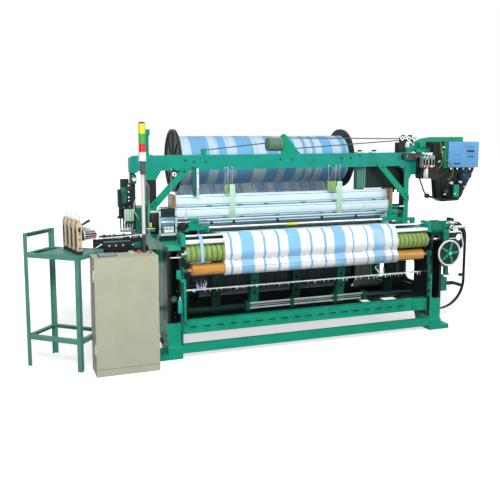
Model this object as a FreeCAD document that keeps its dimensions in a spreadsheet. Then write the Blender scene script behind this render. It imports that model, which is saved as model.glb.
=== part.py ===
import FreeCAD, Part
import Sketcher
import math
import os
from FreeCAD import Placement, Rotation, Vector

# Rapier power loom with an overhead warp beam, a dobby, weft feeders on a stand and a
# control cabinet. Millimetres. X runs across the loom to the weaver's right, Y away from
# the weaver, Z up. The origin is on the floor, in the middle of the four anchor bolts.
# Depths in this file are counted from the front of the feet, and mid_depth brings them
# to the origin.

os.makedirs("parts", exist_ok=True)
doc = FreeCAD.newDocument("power_loom")
sheet = doc.addObject("Spreadsheet::Sheet", "dims")

driving = {
    # side frames
    "inner_width": 2400, "frame_depth": 1500, "mid_depth": 750, "casting_width": 122,
    "wall": 22, "table_height": 945, "rear_height": 1130, "foot_length": 220,
    "foot_reach": 210, "foot_flange": 42, "anchor_radius": 11, "anchor_depth": 100,
    "anchor_side": 1366,
    # front cross beam with its slots
    "beam_bottom": 188, "beam_height": 111, "beam_front": 62, "plate": 12,
    "slot_count": 18, "slot_pitch": 118, "slot_start": -1092, "slot_half": 24,
    "slot_radius": 6,
    # cloth path
    "cloth_half": 830, "cloth_thick": 3, "skin_gap": 0.5, "rod_depth": 100,
    "rod_height": 1003, "rod_radius": 12, "bar_depth": 50, "bar_height": 960,
    "bar_radius": 22, "grip_depth": 65, "grip_height": 859, "grip_radius": 68,
    "grip_half": 1155, "roller_depth": 44, "roller_height": 728, "roller_radius": 48,
    "roller_half": 1112, "roll_radius": 60,
    # shed: fell, reed, healds, warp
    "fell_depth": 400, "fell_height": 985, "yarn_pitch": 20, "warp_half": 854,
    "warp_thick": 2, "reed_depth": 470, "sley_axis_depth": 540, "sley_axis_height": 250,
    "heald_depth": 610, "heald_pitch": 40, "heald_half": 1097, "heald_top": 1182,
    "heald_drop": 512, "heald_lift": 106, "slat_height": 100, "slat_thick": 14,
    # beams and rollers behind
    "upper_depth": 1339, "upper_height": 1574, "flange_radius": 308, "flange_half": 910,
    "winding_radius": 240, "barrel_radius": 75, "lower_depth": 1250, "lower_height": 430,
    "lower_flange": 290, "lower_winding": 230, "rest_depth": 1500, "rest_height": 985,
    "rest_radius": 55, "guide_depth": 1270, "guide_height": 1090, "guide_radius": 40,
    # arch over the healds
    "arch_front": 610, "arch_thick": 80, "arch_bottom": 1518, "arch_height": 133,
    "arch_left": -1490, "arch_right": 1400, "post_inner": 1262, "post_width": 60,
    # handwheel and rapier wheels
    "wheel_side": 1352, "wheel_height": 737, "handwheel_radius": 125,
    "rapier_side": 1700, "rapier_depth": 380, "rapier_height": 800, "rapier_radius": 160,
    "rapier_width": 40,
    # control cabinet
    "cabinet_left": -1934, "cabinet_width": 491, "cabinet_front": -207,
    "cabinet_depth": 229, "cabinet_height": 916, "cabinet_wall": 15, "door_thick": 20,
    # feeder stand
    "stand_x": -2408, "stand_y": 276, "stand_turn": -40.5, "stand_length": 500,
    "stand_width": 360, "stand_height": 1070, "stand_table": 915, "angle_leg": 35,
    "angle_thick": 4,
    # dobby
    "dobby_left": 1560, "dobby_front": 520, "dobby_deep": 340,
}
for row, (name, number) in enumerate(driving.items(), start=1):
    sheet.set(f"A{row}", name)
    sheet.set(f"B{row}", str(number))
    sheet.setAlias(f"B{row}", name)
doc.recompute()


class Size:
    """A length that keeps the sheet expression it was worked out by."""

    def __init__(self, number, text):
        self.number = number
        self.text = text

    def joined(self, other, sign, number):
        return Size(number, f"({self.text} {sign} {text_of(other)})")

    def __add__(self, other):
        return self.joined(other, "+", self.number + number_of(other))

    def __radd__(self, other):
        return self + other

    def __sub__(self, other):
        return self.joined(other, "-", self.number - number_of(other))

    def __rsub__(self, other):
        return -self + other

    def __mul__(self, other):
        return self.joined(other, "*", self.number * number_of(other))

    def __rmul__(self, other):
        return self * other

    def __truediv__(self, other):
        return self.joined(other, "/", self.number / number_of(other))

    def __neg__(self):
        return Size(-self.number, f"(0 - {self.text})")


def number_of(length):
    return length.number if isinstance(length, Size) else float(length)


def text_of(length):
    return length.text if isinstance(length, Size) else repr(float(length))


class Sizes:
    """The sheet's cells by name."""

    def __getattr__(self, name):
        return Size(float(sheet.get(name)), f"dims.{name}")


size = Sizes()
half_inner = size.inner_width / 2
running = 0.05  # radial clearance of a shaft in its bearing
near_gap = 0.3  # gap between curved faces of pieces that move on each other
nodes = []


# ---- small builders --------------------------------------------------------------

def bind(thing, prop, length):
    setattr(thing, prop, number_of(length))
    if isinstance(length, Size):
        thing.setExpression(prop, length.text)


def place(thing, x, y, z, turn=None):
    """Puts a thing at x, y, z, with y counted from the front of the feet."""
    where = (x, y - size.mid_depth, z)
    thing.Placement = Placement(Vector(*[number_of(c) for c in where]), turn or Rotation())
    for axis, length in zip("xyz", where):
        if isinstance(length, Size):
            thing.setExpression(f"Placement.Base.{axis}", length.text)
    return thing


def node(thing, name):
    """Marks a finished sub-part: its label names its file."""
    thing.Label = name
    nodes.append(thing)
    return thing


def box(dx, dy, dz, x, y, z):
    thing = doc.addObject("Part::Box", "block")
    for prop, length in (("Length", dx), ("Width", dy), ("Height", dz)):
        bind(thing, prop, length)
    return place(thing, x, y, z)


turned_to = {
    "X": Rotation(Vector(0, 1, 0), 90),
    "Y": Rotation(Vector(1, 0, 0), -90),
    "Z": Rotation(),
}


def rod(radius, length, axis, x, y, z):
    """A cylinder that starts at x, y, z and runs along the axis."""
    thing = doc.addObject("Part::Cylinder", "rod")
    bind(thing, "Radius", radius)
    bind(thing, "Height", length)
    return place(thing, x, y, z, turned_to[axis])


def cone(radius, far_radius, length, axis, x, y, z):
    thing = doc.addObject("Part::Cone", "cone")
    bind(thing, "Radius1", radius)
    bind(thing, "Radius2", far_radius)
    bind(thing, "Height", length)
    return place(thing, x, y, z, turned_to[axis])


def slanted_rod(radius, start, end):
    """A cylinder from one point to another, both with y from the front of the feet."""
    run = Vector(*end) - Vector(*start)
    thing = doc.addObject("Part::Cylinder", "slanted_rod")
    thing.Radius = radius
    thing.Height = run.Length
    return place(thing, *start, Rotation(Vector(0, 0, 1), run))


def fuse(*things):
    thing = doc.addObject("Part::MultiFuse", "fused")
    thing.Shapes = list(things)
    thing.Refine = True
    return thing


def cut(base, *tools):
    thing = doc.addObject("Part::Cut", "cut")
    thing.Base = base
    thing.Tool = tools[0] if len(tools) == 1 else fuse(*tools)
    return thing


def group(*things):
    thing = doc.addObject("Part::Compound", "group")
    thing.Links = list(things)
    return thing


def mirrored(source):
    """The same piece on the other side of the loom."""
    thing = doc.addObject("Part::Mirroring", "mirrored")
    thing.Source = source
    thing.Normal = Vector(1, 0, 0)
    return thing


def both_sides(*things):
    return group(*things, *[mirrored(thing) for thing in things])


def scripted(shape, y=0):
    """A shape made with Part's own functions, in depths from the front of the feet."""
    thing = doc.addObject("Part::Feature", "shaped")
    thing.Shape = shape
    return place(thing, 0, y, 0)


# ---- PartDesign builders ---------------------------------------------------------

def body():
    thing = doc.addObject("PartDesign::Body", "body")
    return place(thing, 0, 0, 0)


def origin_part(owner, role):
    return next(part for part in owner.Origin.OriginFeatures if part.Role == role)


def sketch(owner, plane, offset=0):
    """A sketch on one of the body's own planes. On XZ the offset is a depth."""
    thing = owner.newObject("Sketcher::SketchObject", "sketch")
    thing.AttachmentSupport = [(origin_part(owner, f"{plane}_Plane"), "")]
    thing.MapMode = "FlatFace"
    along = -offset if plane == "XZ" else offset
    thing.AttachmentOffset = Placement(Vector(0, 0, number_of(along)), Rotation())
    if isinstance(along, Size):
        thing.setExpression("AttachmentOffset.Base.z", along.text)
    return thing


def pin_point(owner, item, end, u, v):
    """Holds a sketch point at its distances from the sketch's origin."""
    for kind, axis, length in (("DistanceX", -2, u), ("DistanceY", -1, v)):
        if not isinstance(length, Size) and length == 0:
            owner.addConstraint(Sketcher.Constraint("PointOnObject", item, end, axis))
            continue
        at = Sketcher.Constraint(kind, -1, 1, item, end, number_of(length))
        index = owner.addConstraint(at)
        if isinstance(length, Size):
            owner.setExpression(f"Constraints[{index}]", length.text)


def outline(owner, points):
    """A closed outline of straight runs through the points."""
    first = owner.GeometryCount
    flat = [Vector(number_of(u), number_of(v), 0) for u, v in points]
    for here, there in zip(flat, flat[1:] + flat[:1]):
        owner.addGeometry(Part.LineSegment(here, there), False)
    count = len(points)
    for i in range(count):
        after = first + (i + 1) % count
        owner.addConstraint(Sketcher.Constraint("Coincident", first + i, 2, after, 1))
    for i, (u, v) in enumerate(points):
        pin_point(owner, first + i, 1, u, v)


def rectangle(owner, u0, v0, u1, v1):
    outline(owner, [(u0, v0), (u1, v0), (u1, v1), (u0, v1)])


def circle(owner, u, v, radius):
    centre = Vector(number_of(u), number_of(v), 0)
    item = owner.addGeometry(Part.Circle(centre, Vector(0, 0, 1), number_of(radius)), False)
    pin_point(owner, item, 3, u, v)
    index = owner.addConstraint(Sketcher.Constraint("Radius", item, number_of(radius)))
    if isinstance(radius, Size):
        owner.setExpression(f"Constraints[{index}]", radius.text)


def window(owner, u0, v0, u1, v1, radius):
    """A rectangle with round corners, given by two opposite corners."""
    u0, v0, u1, v1 = (number_of(length) for length in (u0, v0, u1, v1))
    u0, u1 = sorted((u0, u1))
    v0, v1 = sorted((v0, v1))
    corners = [(u1, v1, 0), (u0, v1, 90), (u0, v0, 180), (u1, v0, 270)]
    last, first = None, None
    for u, v, start in corners:
        middle_u = u - radius if u == u1 else u + radius
        middle_v = v - radius if v == v1 else v + radius
        spots = []
        for degrees in (start, start + 45, start + 90):
            angle = math.radians(degrees)
            spots.append(Vector(middle_u + radius * math.cos(angle),
                                middle_v + radius * math.sin(angle), 0))
        if last is not None:
            owner.addGeometry(Part.LineSegment(last, spots[0]), False)
        owner.addGeometry(Part.Arc(*spots), False)
        last, first = spots[2], first or spots[0]
    owner.addGeometry(Part.LineSegment(last, first), False)


def racetrack(owner, u, v, half, radius):
    """A slot outline along u: two straight runs and two half circles."""
    u, v, half, radius = (number_of(length) for length in (u, v, half, radius))
    top = [Vector(u - half, v + radius, 0), Vector(u + half, v + radius, 0)]
    low = [Vector(u + half, v - radius, 0), Vector(u - half, v - radius, 0)]
    right, left = Vector(u + half + radius, v, 0), Vector(u - half - radius, v, 0)
    owner.addGeometry(Part.LineSegment(*top), False)
    owner.addGeometry(Part.Arc(top[1], right, low[0]), False)
    owner.addGeometry(Part.LineSegment(*low), False)
    owner.addGeometry(Part.Arc(low[1], left, top[0]), False)


def pad(owner, profile, length, back=False):
    """Adds the profile's prism. An XZ profile's own way is towards the weaver."""
    thing = owner.newObject("PartDesign::Pad", "pad")
    thing.Profile = profile
    bind(thing, "Length", length)
    thing.Reversed = back
    return thing


def pocket(owner, profile, length, back=False):
    """Cuts the profile's prism, against the profile's own way unless it is back."""
    doc.recompute()
    before = owner.Shape.Volume
    thing = owner.newObject("PartDesign::Pocket", "pocket")
    thing.Profile = profile
    bind(thing, "Length", length)
    thing.Reversed = back
    doc.recompute()
    if owner.Shape.Volume > before - 1:
        raise RuntimeError(f"a pocket of {owner.Label} cuts nothing")
    return thing


def pattern(owner, feature, axis, length, count):
    thing = owner.newObject("PartDesign::LinearPattern", "row")
    thing.Originals = [feature]
    thing.Direction = (origin_part(owner, f"{axis}_Axis"), [""])
    bind(thing, "Length", length)
    thing.Occurrences = count
    owner.Tip = thing
    return thing


def spun(owner, feature, axis, count):
    thing = owner.newObject("PartDesign::PolarPattern", "ring")
    thing.Originals = [feature]
    thing.Axis = (origin_part(owner, f"{axis}_Axis"), [""])
    thing.Angle = 360
    thing.Occurrences = count
    owner.Tip = thing
    return thing


def rounded(owner, radius, chosen):
    """Rounds the tip's edges that the test chooses."""
    doc.recompute()
    tip = owner.Tip
    names = [f"Edge{i + 1}" for i, edge in enumerate(tip.Shape.Edges) if chosen(edge)]
    thing = owner.newObject("PartDesign::Fillet", "rounding")
    thing.Base = (tip, names)
    bind(thing, "Radius", radius)
    return thing


def runs_along(edge, axis):
    """True for a straight edge parallel to X, Y or Z."""
    if not isinstance(edge.Curve, (Part.Line, Part.LineSegment)):
        return False
    run = edge.Vertexes[-1].Point - edge.Vertexes[0].Point
    across = [abs(c) for name, c in zip("XYZ", run) if name != axis]
    return max(across) < 1e-6


def plate(plane, start, thick, points):
    """A plate with a straight-sided outline. It grows along X or Z, or away in Y."""
    owner = body()
    profile = sketch(owner, plane, start)
    outline(profile, points)
    pad(owner, profile, thick, back=plane == "XZ")
    return owner


def turned(axis_y, axis_z, points):
    """A turned piece on an axis along X: the points are (x, radius)."""
    owner = body()
    profile = sketch(owner, "XZ")
    outline(profile, points)
    thing = owner.newObject("PartDesign::Revolution", "turning")
    thing.Profile = profile
    thing.ReferenceAxis = (profile, ["H_Axis"])
    thing.Angle = 360
    return place(owner, 0, axis_y, axis_z)


# ---- side frames -----------------------------------------------------------------

def side_frame(side):
    """A box casting: two walls, a recess in front and behind, windows and bearings."""
    owner = body()
    inner = side * half_inner
    outer = side * (half_inner + size.casting_width)
    into = side < 0  # a pad from the inner face goes outwards
    deep = size.frame_depth
    form = sketch(owner, "YZ", inner)
    outline(form, [
        (0, 0), (0, 95), (20, 110), (20, size.table_height - 40), (60, size.table_height),
        (760, size.table_height), (800, size.table_height - 40), (1230, 905),
        (1240, size.rear_height), (1480, size.rear_height), (1560, 1040), (1560, 900),
        (deep, 840), (deep, 0), (deep - size.foot_length, 0), (1240, 110), (1150, 170),
        (350, 170), (260, 110), (size.foot_length, 0)])
    pad(owner, form, size.casting_width, back=into)

    feet = sketch(owner, "XY")
    reach = side * (half_inner + size.foot_reach)
    rectangle(feet, outer, 0, reach, size.foot_length)
    rectangle(feet, outer, deep - size.foot_length, reach, deep)
    pad(owner, feet, size.foot_flange)
    bolts = sketch(owner, "XY", size.foot_flange)
    circle(bolts, side * size.anchor_side, size.anchor_depth, size.anchor_radius)
    circle(bolts, side * size.anchor_side, deep - size.anchor_depth, size.anchor_radius)
    pocket(owner, bolts, size.foot_flange)

    ear = sketch(owner, "YZ", inner)
    rectangle(ear, 25, 932, 145, 1030)
    pad(owner, ear, 40, back=not into)

    # the hollows between the walls: in front, behind and in the middle
    near = side * (half_inner + size.wall)
    far = side * (half_inner + size.casting_width - size.wall)
    front = sketch(owner, "XZ", 20)
    window(front, near, 300, far, 900, 30)
    pocket(owner, front, 220)
    behind = sketch(owner, "XZ", deep)
    window(behind, near, 250, far, 800, 30)
    pocket(owner, behind, 160, back=True)
    core = sketch(owner, "YZ", near)
    window(core, 262, 200, 1318, 880, 40)
    gap = size.casting_width - 2 * size.wall
    pocket(owner, core, gap, back=not into)

    openings = sketch(owner, "YZ", inner)
    window(openings, 290, 380, 610, 640, 60)
    window(openings, 760, 300, 1120, 640, 60)
    window(openings, 700, 700, 1120, 840, 40)
    pocket(owner, openings, size.casting_width, back=not into)

    bearings = sketch(owner, "YZ", inner)
    for y, z, radius in (
            (size.grip_depth, size.grip_height, 20), (100, 550, 8),
            (size.sley_axis_depth, size.sley_axis_height, 30),
            (size.lower_depth, size.lower_height, 25),
            (size.guide_depth, size.guide_height, 15),
            (size.rest_depth, size.rest_height, 18)):
        circle(bearings, y, z, radius + running)
    pocket(owner, bearings, size.casting_width, back=not into)
    return owner


def arm_keepers():
    """The two straps that guide a slide arm on the side frame."""
    straps = []
    for z in (360, 470):
        strap = box(38, 38, 26, half_inner - 38, 10, z)
        straps.append(cut(strap, box(23, 22.6, 40, half_inner - 22.6, 17.7, z - 5)))
    return straps


left_keepers = [mirrored(strap) for strap in arm_keepers()]
node(fuse(side_frame(-1), *left_keepers), "left_side_frame")
node(fuse(side_frame(1), *arm_keepers()), "right_side_frame")


# ---- beams between the side frames -----------------------------------------------

def front_cross_beam():
    """A channel with raised racetrack bosses, each with its adjusting slot."""
    owner = body()
    low, high = size.beam_bottom, size.beam_bottom + size.beam_height
    front, lip = size.beam_front, size.beam_front + 60
    web = size.beam_front + size.plate
    form = sketch(owner, "YZ", -half_inner)
    outline(form, [
        (front, low), (front, high), (lip, high), (lip, high - 8), (web, high - 8),
        (web, low + 8), (lip, low + 8), (lip, low)])
    pad(owner, form, size.inner_width)
    row = (size.slot_count - 1) * size.slot_pitch
    first = size.slot_start
    middle = size.beam_bottom + size.beam_height / 2
    boss = sketch(owner, "XZ", size.beam_front)
    racetrack(boss, first, middle, size.slot_half, 17)
    raised = pad(owner, boss, 6)
    pattern(owner, raised, "X", row, int(number_of(size.slot_count)))
    slot = sketch(owner, "XZ", size.beam_front - 6)
    racetrack(slot, first, middle, size.slot_half, size.slot_radius)
    opened = pocket(owner, slot, 6 + size.plate)
    pattern(owner, opened, "X", row, int(number_of(size.slot_count)))
    joint = sketch(owner, "XZ", size.beam_front)
    rectangle(joint, 1040, low, half_inner, high)
    pad(owner, joint, 8)
    heads = sketch(owner, "XZ", size.beam_front - 8)
    for x in (1075, 1165):
        for z in (216, 270):
            circle(heads, x, z, 11)
    pad(owner, heads, 8)
    return owner


node(front_cross_beam(), "front_cross_beam")
node(group(
    box(size.inner_width, 40, 75, -half_inner, 5, 42),
    box(size.inner_width, 40, 75, -half_inner, 1455, 42),
    box(size.inner_width, 60, 80, -half_inner, 860, 180),
    box(size.inner_width, 60, 80, -half_inner, 1020, 850)), "tie_bars")
breast_half = half_inner - 40
node(group(
    rod(size.rod_radius, 2 * breast_half, "X", -breast_half, size.rod_depth, size.rod_height),
    rod(size.bar_radius, 2 * breast_half, "X", -breast_half, size.bar_depth, size.bar_height)),
    "breast_beam")


# ---- arch over the healds --------------------------------------------------------

arch_top = size.arch_bottom + size.arch_height
arch_back = size.arch_front + size.arch_thick


def arch_beam():
    owner = body()
    form = sketch(owner, "XZ", size.arch_front)
    outline(form, [
        (size.arch_left, size.arch_bottom - 14), (size.arch_left, arch_top - 22),
        (size.arch_left + 35, arch_top), (size.arch_right, arch_top),
        (size.arch_right, 1430), (size.arch_right - 50, 1430),
        (size.arch_right - 50, size.arch_bottom), (size.arch_left + 70, size.arch_bottom),
        (size.arch_left + 60, size.arch_bottom - 14)])
    pad(owner, form, size.arch_thick, back=True)
    rounded(owner, 70, lambda edge: runs_along(edge, "Y")
            and abs(edge.CenterOfMass.x - number_of(size.arch_right)) < 1
            and edge.CenterOfMass.z > 1600)
    return owner


def arch_post():
    """A right post with its gussets and its diagonal brace."""
    left, right = size.post_inner, size.post_inner + size.post_width
    column = plate("XZ", size.arch_front, size.arch_thick, [
        (left, size.table_height), (left, 1440), (1215, size.arch_bottom),
        (1349, size.arch_bottom), (1349, 1430), (right, 1380), (right, size.table_height)])
    brace = plate("XZ", size.arch_front - 12, 12, [
        (1322, 1165), (1322, 1225), (1010, 1545), (950, 1545), (950, 1530), (1290, 1165)])
    return column, brace


node(arch_beam(), "arch_beam")
node(both_sides(*arch_post()), "arch_posts")


# ---- stands for the upper warp beam ----------------------------------------------

def beam_stand(top):
    """A column on the inner face of a side frame, with the beam's bearing."""
    column = box(70, 100, top - 600, half_inner - 70, 1300, 600)
    cap = rod(62, 70, "X", half_inner - 70, size.upper_depth, size.upper_height)
    bore = rod(25 + running, 90, "X", half_inner - 80, size.upper_depth, size.upper_height)
    return cut(fuse(column, cap), bore)


tall_arm = fuse(
    box(30, 60, 300, -half_inner + 5, 1320, 1580), box(50, 70, 60, -half_inner - 5, 1315, 1820))
node(group(
    beam_stand(1600), cut(fuse(mirrored(beam_stand(1600)), tall_arm), rod(
        25 + running, 90, "X", -half_inner - 10, size.upper_depth, size.upper_height))),
    "beam_stands")


# ---- warp beams and rollers ------------------------------------------------------

journal_end = half_inner + 25


def upper_beam():
    """The barrel, both ribbed flanges and the journals, turned as one."""
    end, half, wide = journal_end - 30, size.flange_half, size.flange_radius
    right = [
        (half, size.barrel_radius), (half, wide), (half + 26, wide), (half + 26, wide - 18),
        (half + 12, wide - 26), (half + 12, 70), (half + 20, 62), (half + 20, 25), (end, 25)]
    left = [(-x, r) for x, r in reversed(right)]
    owner = turned(size.upper_depth, size.upper_height, [(-end, 0)] + left + right + [(end, 0)])
    for side in (-1, 1):
        ribs = sketch(owner, "YZ", side * (half + 12))
        rectangle(ribs, -7, 60, 7, wide - 22)
        rib = pad(owner, ribs, 9, back=side < 0)
        spun(owner, rib, "X", 8)
    return owner


def winding(radius, core, half, y, z):
    outer = rod(radius, 2 * half, "X", -half, y, z)
    return cut(outer, rod(core, 2 * half + 20, "X", -half - 10, y, z))


def lower_beam():
    """The ground warp beam: journals, flanges and its full winding."""
    half, wide, full = size.flange_half, size.lower_flange, size.lower_winding
    right = [
        (half, full), (half, wide), (half + 22, wide), (half + 22, wide - 16),
        (half + 10, wide - 24), (half + 10, 60), (half + 24, 52), (half + 24, 25),
        (journal_end, 25)]
    left = [(-x, r) for x, r in reversed(right)]
    points = [(-journal_end, 0)] + left + right + [(journal_end, 0)]
    return turned(size.lower_depth, size.lower_height, points)


def plain_roller(radius, half, shaft, y, z):
    right = [(half, radius), (half + 4, radius - 6), (half + 4, shaft), (journal_end, shaft)]
    left = [(-x, r) for x, r in reversed(right)]
    return turned(y, z, [(-journal_end, 0)] + left + right + [(journal_end, 0)])


node(upper_beam(), "upper_beam")
node(winding(size.winding_radius, size.barrel_radius, size.flange_half - 0.5,
             size.upper_depth, size.upper_height), "upper_winding")
node(lower_beam(), "lower_beam")
node(plain_roller(size.rest_radius, 1100, 18, size.rest_depth, size.rest_height),
     "back_rest_roller")
node(plain_roller(size.guide_radius, 1080, 15, size.guide_depth, size.guide_height),
     "guide_roller")


# ---- cloth and warp --------------------------------------------------------------

def tangent_angle(start, end, offset):
    """Direction of the straight run between two stops, for a line off the middle."""
    dy, dz = end[0] - start[0], end[1] - start[1]
    lean = math.asin(((end[2] - offset) - (start[2] - offset)) / math.hypot(dy, dz))
    return math.atan2(dz, dy) - lean


def edge_line(stops, offset):
    """One edge of a ribbon that runs from stop to stop and round the rollers.

    A stop is (y, z, radius), with the radius negative for a roller on the right hand.
    """
    pieces, last, arrived = [], None, None
    for i, (y, z, radius) in enumerate(stops):
        bend = radius - offset
        ends = []
        for a, b in ((i - 1, i), (i, i + 1)):
            if 0 <= a and b < len(stops):
                angle = tangent_angle(stops[a], stops[b], offset) + math.pi / 2
                spot = Vector(0, y - bend * math.cos(angle), z - bend * math.sin(angle))
                ends.append(spot)
        if arrived is not None:
            pieces.append(Part.LineSegment(arrived, ends[0]))
        if len(ends) == 2 and (ends[0] - ends[1]).Length > 1e-6:
            centre = Vector(0, y, z)
            middle = (ends[0] + ends[1]) * 0.5 - centre
            middle.Length = abs(bend)
            pieces.append(Part.Arc(ends[0], centre + middle, ends[1]))
        arrived = ends[-1]
        last = ends
    return pieces, last


def ribbon(stops, thick, half):
    """A sheet that runs over rollers: its section in depth and height, drawn along X."""
    near, _ = edge_line(stops, thick / 2)
    far, _ = edge_line(stops, -thick / 2)
    edges = [piece.toShape() for piece in near + far]
    near_start, near_end = near[0].StartPoint, near[-1].EndPoint
    far_start, far_end = far[0].StartPoint, far[-1].EndPoint
    edges.append(Part.LineSegment(near_start, far_start).toShape())
    edges.append(Part.LineSegment(near_end, far_end).toShape())
    face = Part.Face(Part.Wire(Part.__sortEdges__(edges)))
    face.translate(Vector(-half, 0, 0))
    return face.extrude(Vector(2 * half, 0, 0))


def plain(*names):
    return [float(sheet.get(name)) for name in names]


def round_stop(depth, height, radius, thick, hand=1):
    """A stop on a roller, with the skin gap between the roller and the sheet."""
    y, z, r, gap = plain(depth, height, radius, "skin_gap")
    return (y, z, hand * (r + gap + thick / 2))


def cloth_sheet():
    thick, half, fell_y, fell_z = plain("cloth_thick", "cloth_half", "fell_depth", "fell_height")
    stops = [
        (fell_y, fell_z, 0), round_stop("rod_depth", "rod_height", "rod_radius", thick),
        round_stop("bar_depth", "bar_height", "bar_radius", thick),
        round_stop("grip_depth", "grip_height", "grip_radius", thick)]
    grip_y, grip_z, reach = stops[-1]
    roll_y, roll_z = plain("roller_depth", "roller_height")
    down = Vector(0, roll_y - grip_y, roll_z - grip_z).normalize()
    along = Vector(0, -down.z, down.y)
    nip = Vector(0, grip_y, grip_z) + down * reach + along * 12
    return ribbon(stops + [(nip.y, nip.z, 0)], thick, half)


def warp_sheets():
    """The ground warp as a comb of yarn strips, and the sheet from the upper beam."""
    thick, half, fell_y, fell_z = plain("warp_thick", "warp_half", "fell_depth", "fell_height")
    pitch, = plain("yarn_pitch")
    back_y, back_z, back_r = round_stop("rest_depth", "rest_height", "rest_radius", thick, -1)
    low_y, low_z, low_r = round_stop("lower_depth", "lower_height", "lower_winding", thick, -1)
    ground = ribbon([
        (fell_y + 0.5, fell_z, 0), (back_y, back_z, back_r), (low_y, low_z, low_r),
        (low_y - 0.866 * low_r - 6, low_z + 0.5 * low_r - 10.4, 0)], thick, half)
    gaps = []
    for i in range(int(half * 2 / pitch)):
        x = -half + 8 + i * pitch
        gaps.append(Part.makeBox(pitch - 8, 815, 90, Vector(x, fell_y - 5, fell_z - 30)))
    comb = ground.cut(Part.Compound(gaps))
    upper_r = round_stop("upper_depth", "upper_height", "winding_radius", thick, -1)
    guide = round_stop("guide_depth", "guide_height", "guide_radius", thick, -1)
    top = ribbon([
        (upper_r[0] - upper_r[2] + 0.5, upper_r[1] + 60, 0), upper_r, guide,
        (1232, 1036, 0)], thick, half + 30)
    return scripted(comb), scripted(top)


node(scripted(cloth_sheet()), "cloth_sheet")
node(group(*warp_sheets()), "warp_sheets")


# ---- take-up roller, cloth roller and handwheel ----------------------------------

def take_up_roller():
    half, core = size.grip_half, size.grip_radius - 8
    stub = [(half, core), (half + 18, core - 12), (half + 18, 20)]
    left = [(-x, r) for x, r in reversed(stub)]
    return turned(size.grip_depth, size.grip_height,
                  [(-journal_end, 0), (-journal_end, 20)] + left + stub + [(1320, 20), (1320, 0)])


def roller_wrap():
    """Rubber sleeve, grooved round the bare ends beside the cloth."""
    half, out = number_of(size.grip_half), number_of(size.grip_radius)
    groove, pitch = 3.5, 42
    right = []
    for i in range(7):
        x = number_of(size.cloth_half) + 30 + i * pitch
        right += [(x - groove, out), (x, out - 5), (x + groove, out)]
    right += [(half, out), (half, out - 8)]
    left = [(-x, r) for x, r in reversed(right)]
    return turned(size.grip_depth, size.grip_height, left + right)


def handwheel():
    """A round rim, five flat spokes and a hub on the shaft into the gearbox."""
    rim = doc.addObject("Part::Torus", "rim")
    bind(rim, "Radius1", size.handwheel_radius - 8)
    rim.Radius2 = 8
    place(rim, size.wheel_side, -50, size.wheel_height, turned_to["Y"])
    hub = rod(24, 30, "Y", size.wheel_side, -64, size.wheel_height)
    shaft = rod(12, 110, "Y", size.wheel_side, -40, size.wheel_height)
    spokes = []
    for i in range(5):
        spoke = doc.addObject("Part::Wedge", "spoke")
        spoke.Xmin, spoke.Xmax, spoke.X2min, spoke.X2max = -10, 10, -6, 6
        spoke.Zmin, spoke.Zmax, spoke.Z2min, spoke.Z2max = -5, 5, -4, 4
        spoke.Ymin, spoke.Ymax = 15, 114
        turn = Rotation(Vector(0, 1, 0), 72 * i + 18) * Rotation(Vector(1, 0, 0), 90)
        spokes.append(place(spoke, size.wheel_side, -50, size.wheel_height, turn))
    return fuse(rim, hub, shaft, *spokes)


def take_up_gearbox():
    """The worm gearbox outside the right wall, with the let-off blocks and plate on top."""
    outer = half_inner + size.casting_width
    case = plate("YZ", outer, 60, [
        (0, 690), (0, 930), (20, 950), (110, 950), (130, 930), (130, 700), (100, 670),
        (20, 670)])
    case = cut(case,
               rod(20 + running, 80, "X", outer - 10, size.grip_depth, size.grip_height),
               rod(12 + running, 90, "Y", size.wheel_side, -10, size.wheel_height))
    cap = rod(40, 14, "X", outer + 60, size.grip_depth, size.grip_height)
    hanger = plate("XZ", 82, 30, [
        (outer, 700), (outer, 600), (1372, 600), (1405, 570), (1408, 498), (1463, 495),
        (1446, 522), (1441, 600), (1441, 640), (1382, 700)])
    tube = rod(5, 190, "X", outer + 60, 60, 853)
    tail = slanted_rod(6, (1560, 60, 905), (1590, 60, 780))
    lug = fuse(box(96, 80, 128, outer, 60, 352), rod(18, 76, "X", outer, 100, 487))
    blocks = group(box(88, 60, 91, 1204, 20, size.table_height),
                   box(26, 50, 60, 1296, 30, size.table_height))
    top_plate = fuse(box(168, 14, 90, 1322, 110, 930), rod(26, 40, "Y", 1400, 90, 975),
                     rod(8, 55, "Y", 1462, 60, 957))
    return group(fuse(case, cap, hanger, tube, tail), blocks, top_plate, lug)


def brake_lever():
    """White-gripped lever on the pin of the top plate."""
    ring = cut(rod(16, 18, "Y", 1462, 72, 957), rod(8 + running, 40, "Y", 1462, 60, 957))
    arm = box(50, 12, 12, 1475, 75, 951)
    grip = rod(14, 120, "X", 1500, 81, 957)
    return fuse(ring, arm, grip)


def cloth_arm():
    """Slide arm that carries one end of the cloth roller."""
    eye_y, eye_z, start = size.roller_depth, size.roller_height, half_inner - 22.3
    ring = rod(34, 22, "X", start, eye_y, eye_z)
    stem = plate("YZ", start, 22, [
        (52, 720), (52, 640), (40, 618), (40, 320), (18, 320), (18, 618), (32, 640), (32, 720)])
    return cut(fuse(ring, stem), rod(16 + running, 30, "X", half_inner - 26, eye_y, eye_z))


def cloth_roller():
    """Turned wooden roller on steel journals."""
    half, radius = size.roller_half, size.roller_radius
    right = [(half - 4, radius), (half, radius - 4), (half, 16), (half_inner - 5, 16)]
    left = [(-x, r) for x, r in reversed(right)]
    points = [(-half_inner + 5, 0)] + left + right + [(half_inner - 5, 0)]
    return turned(size.roller_depth, size.roller_height, points)


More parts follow.
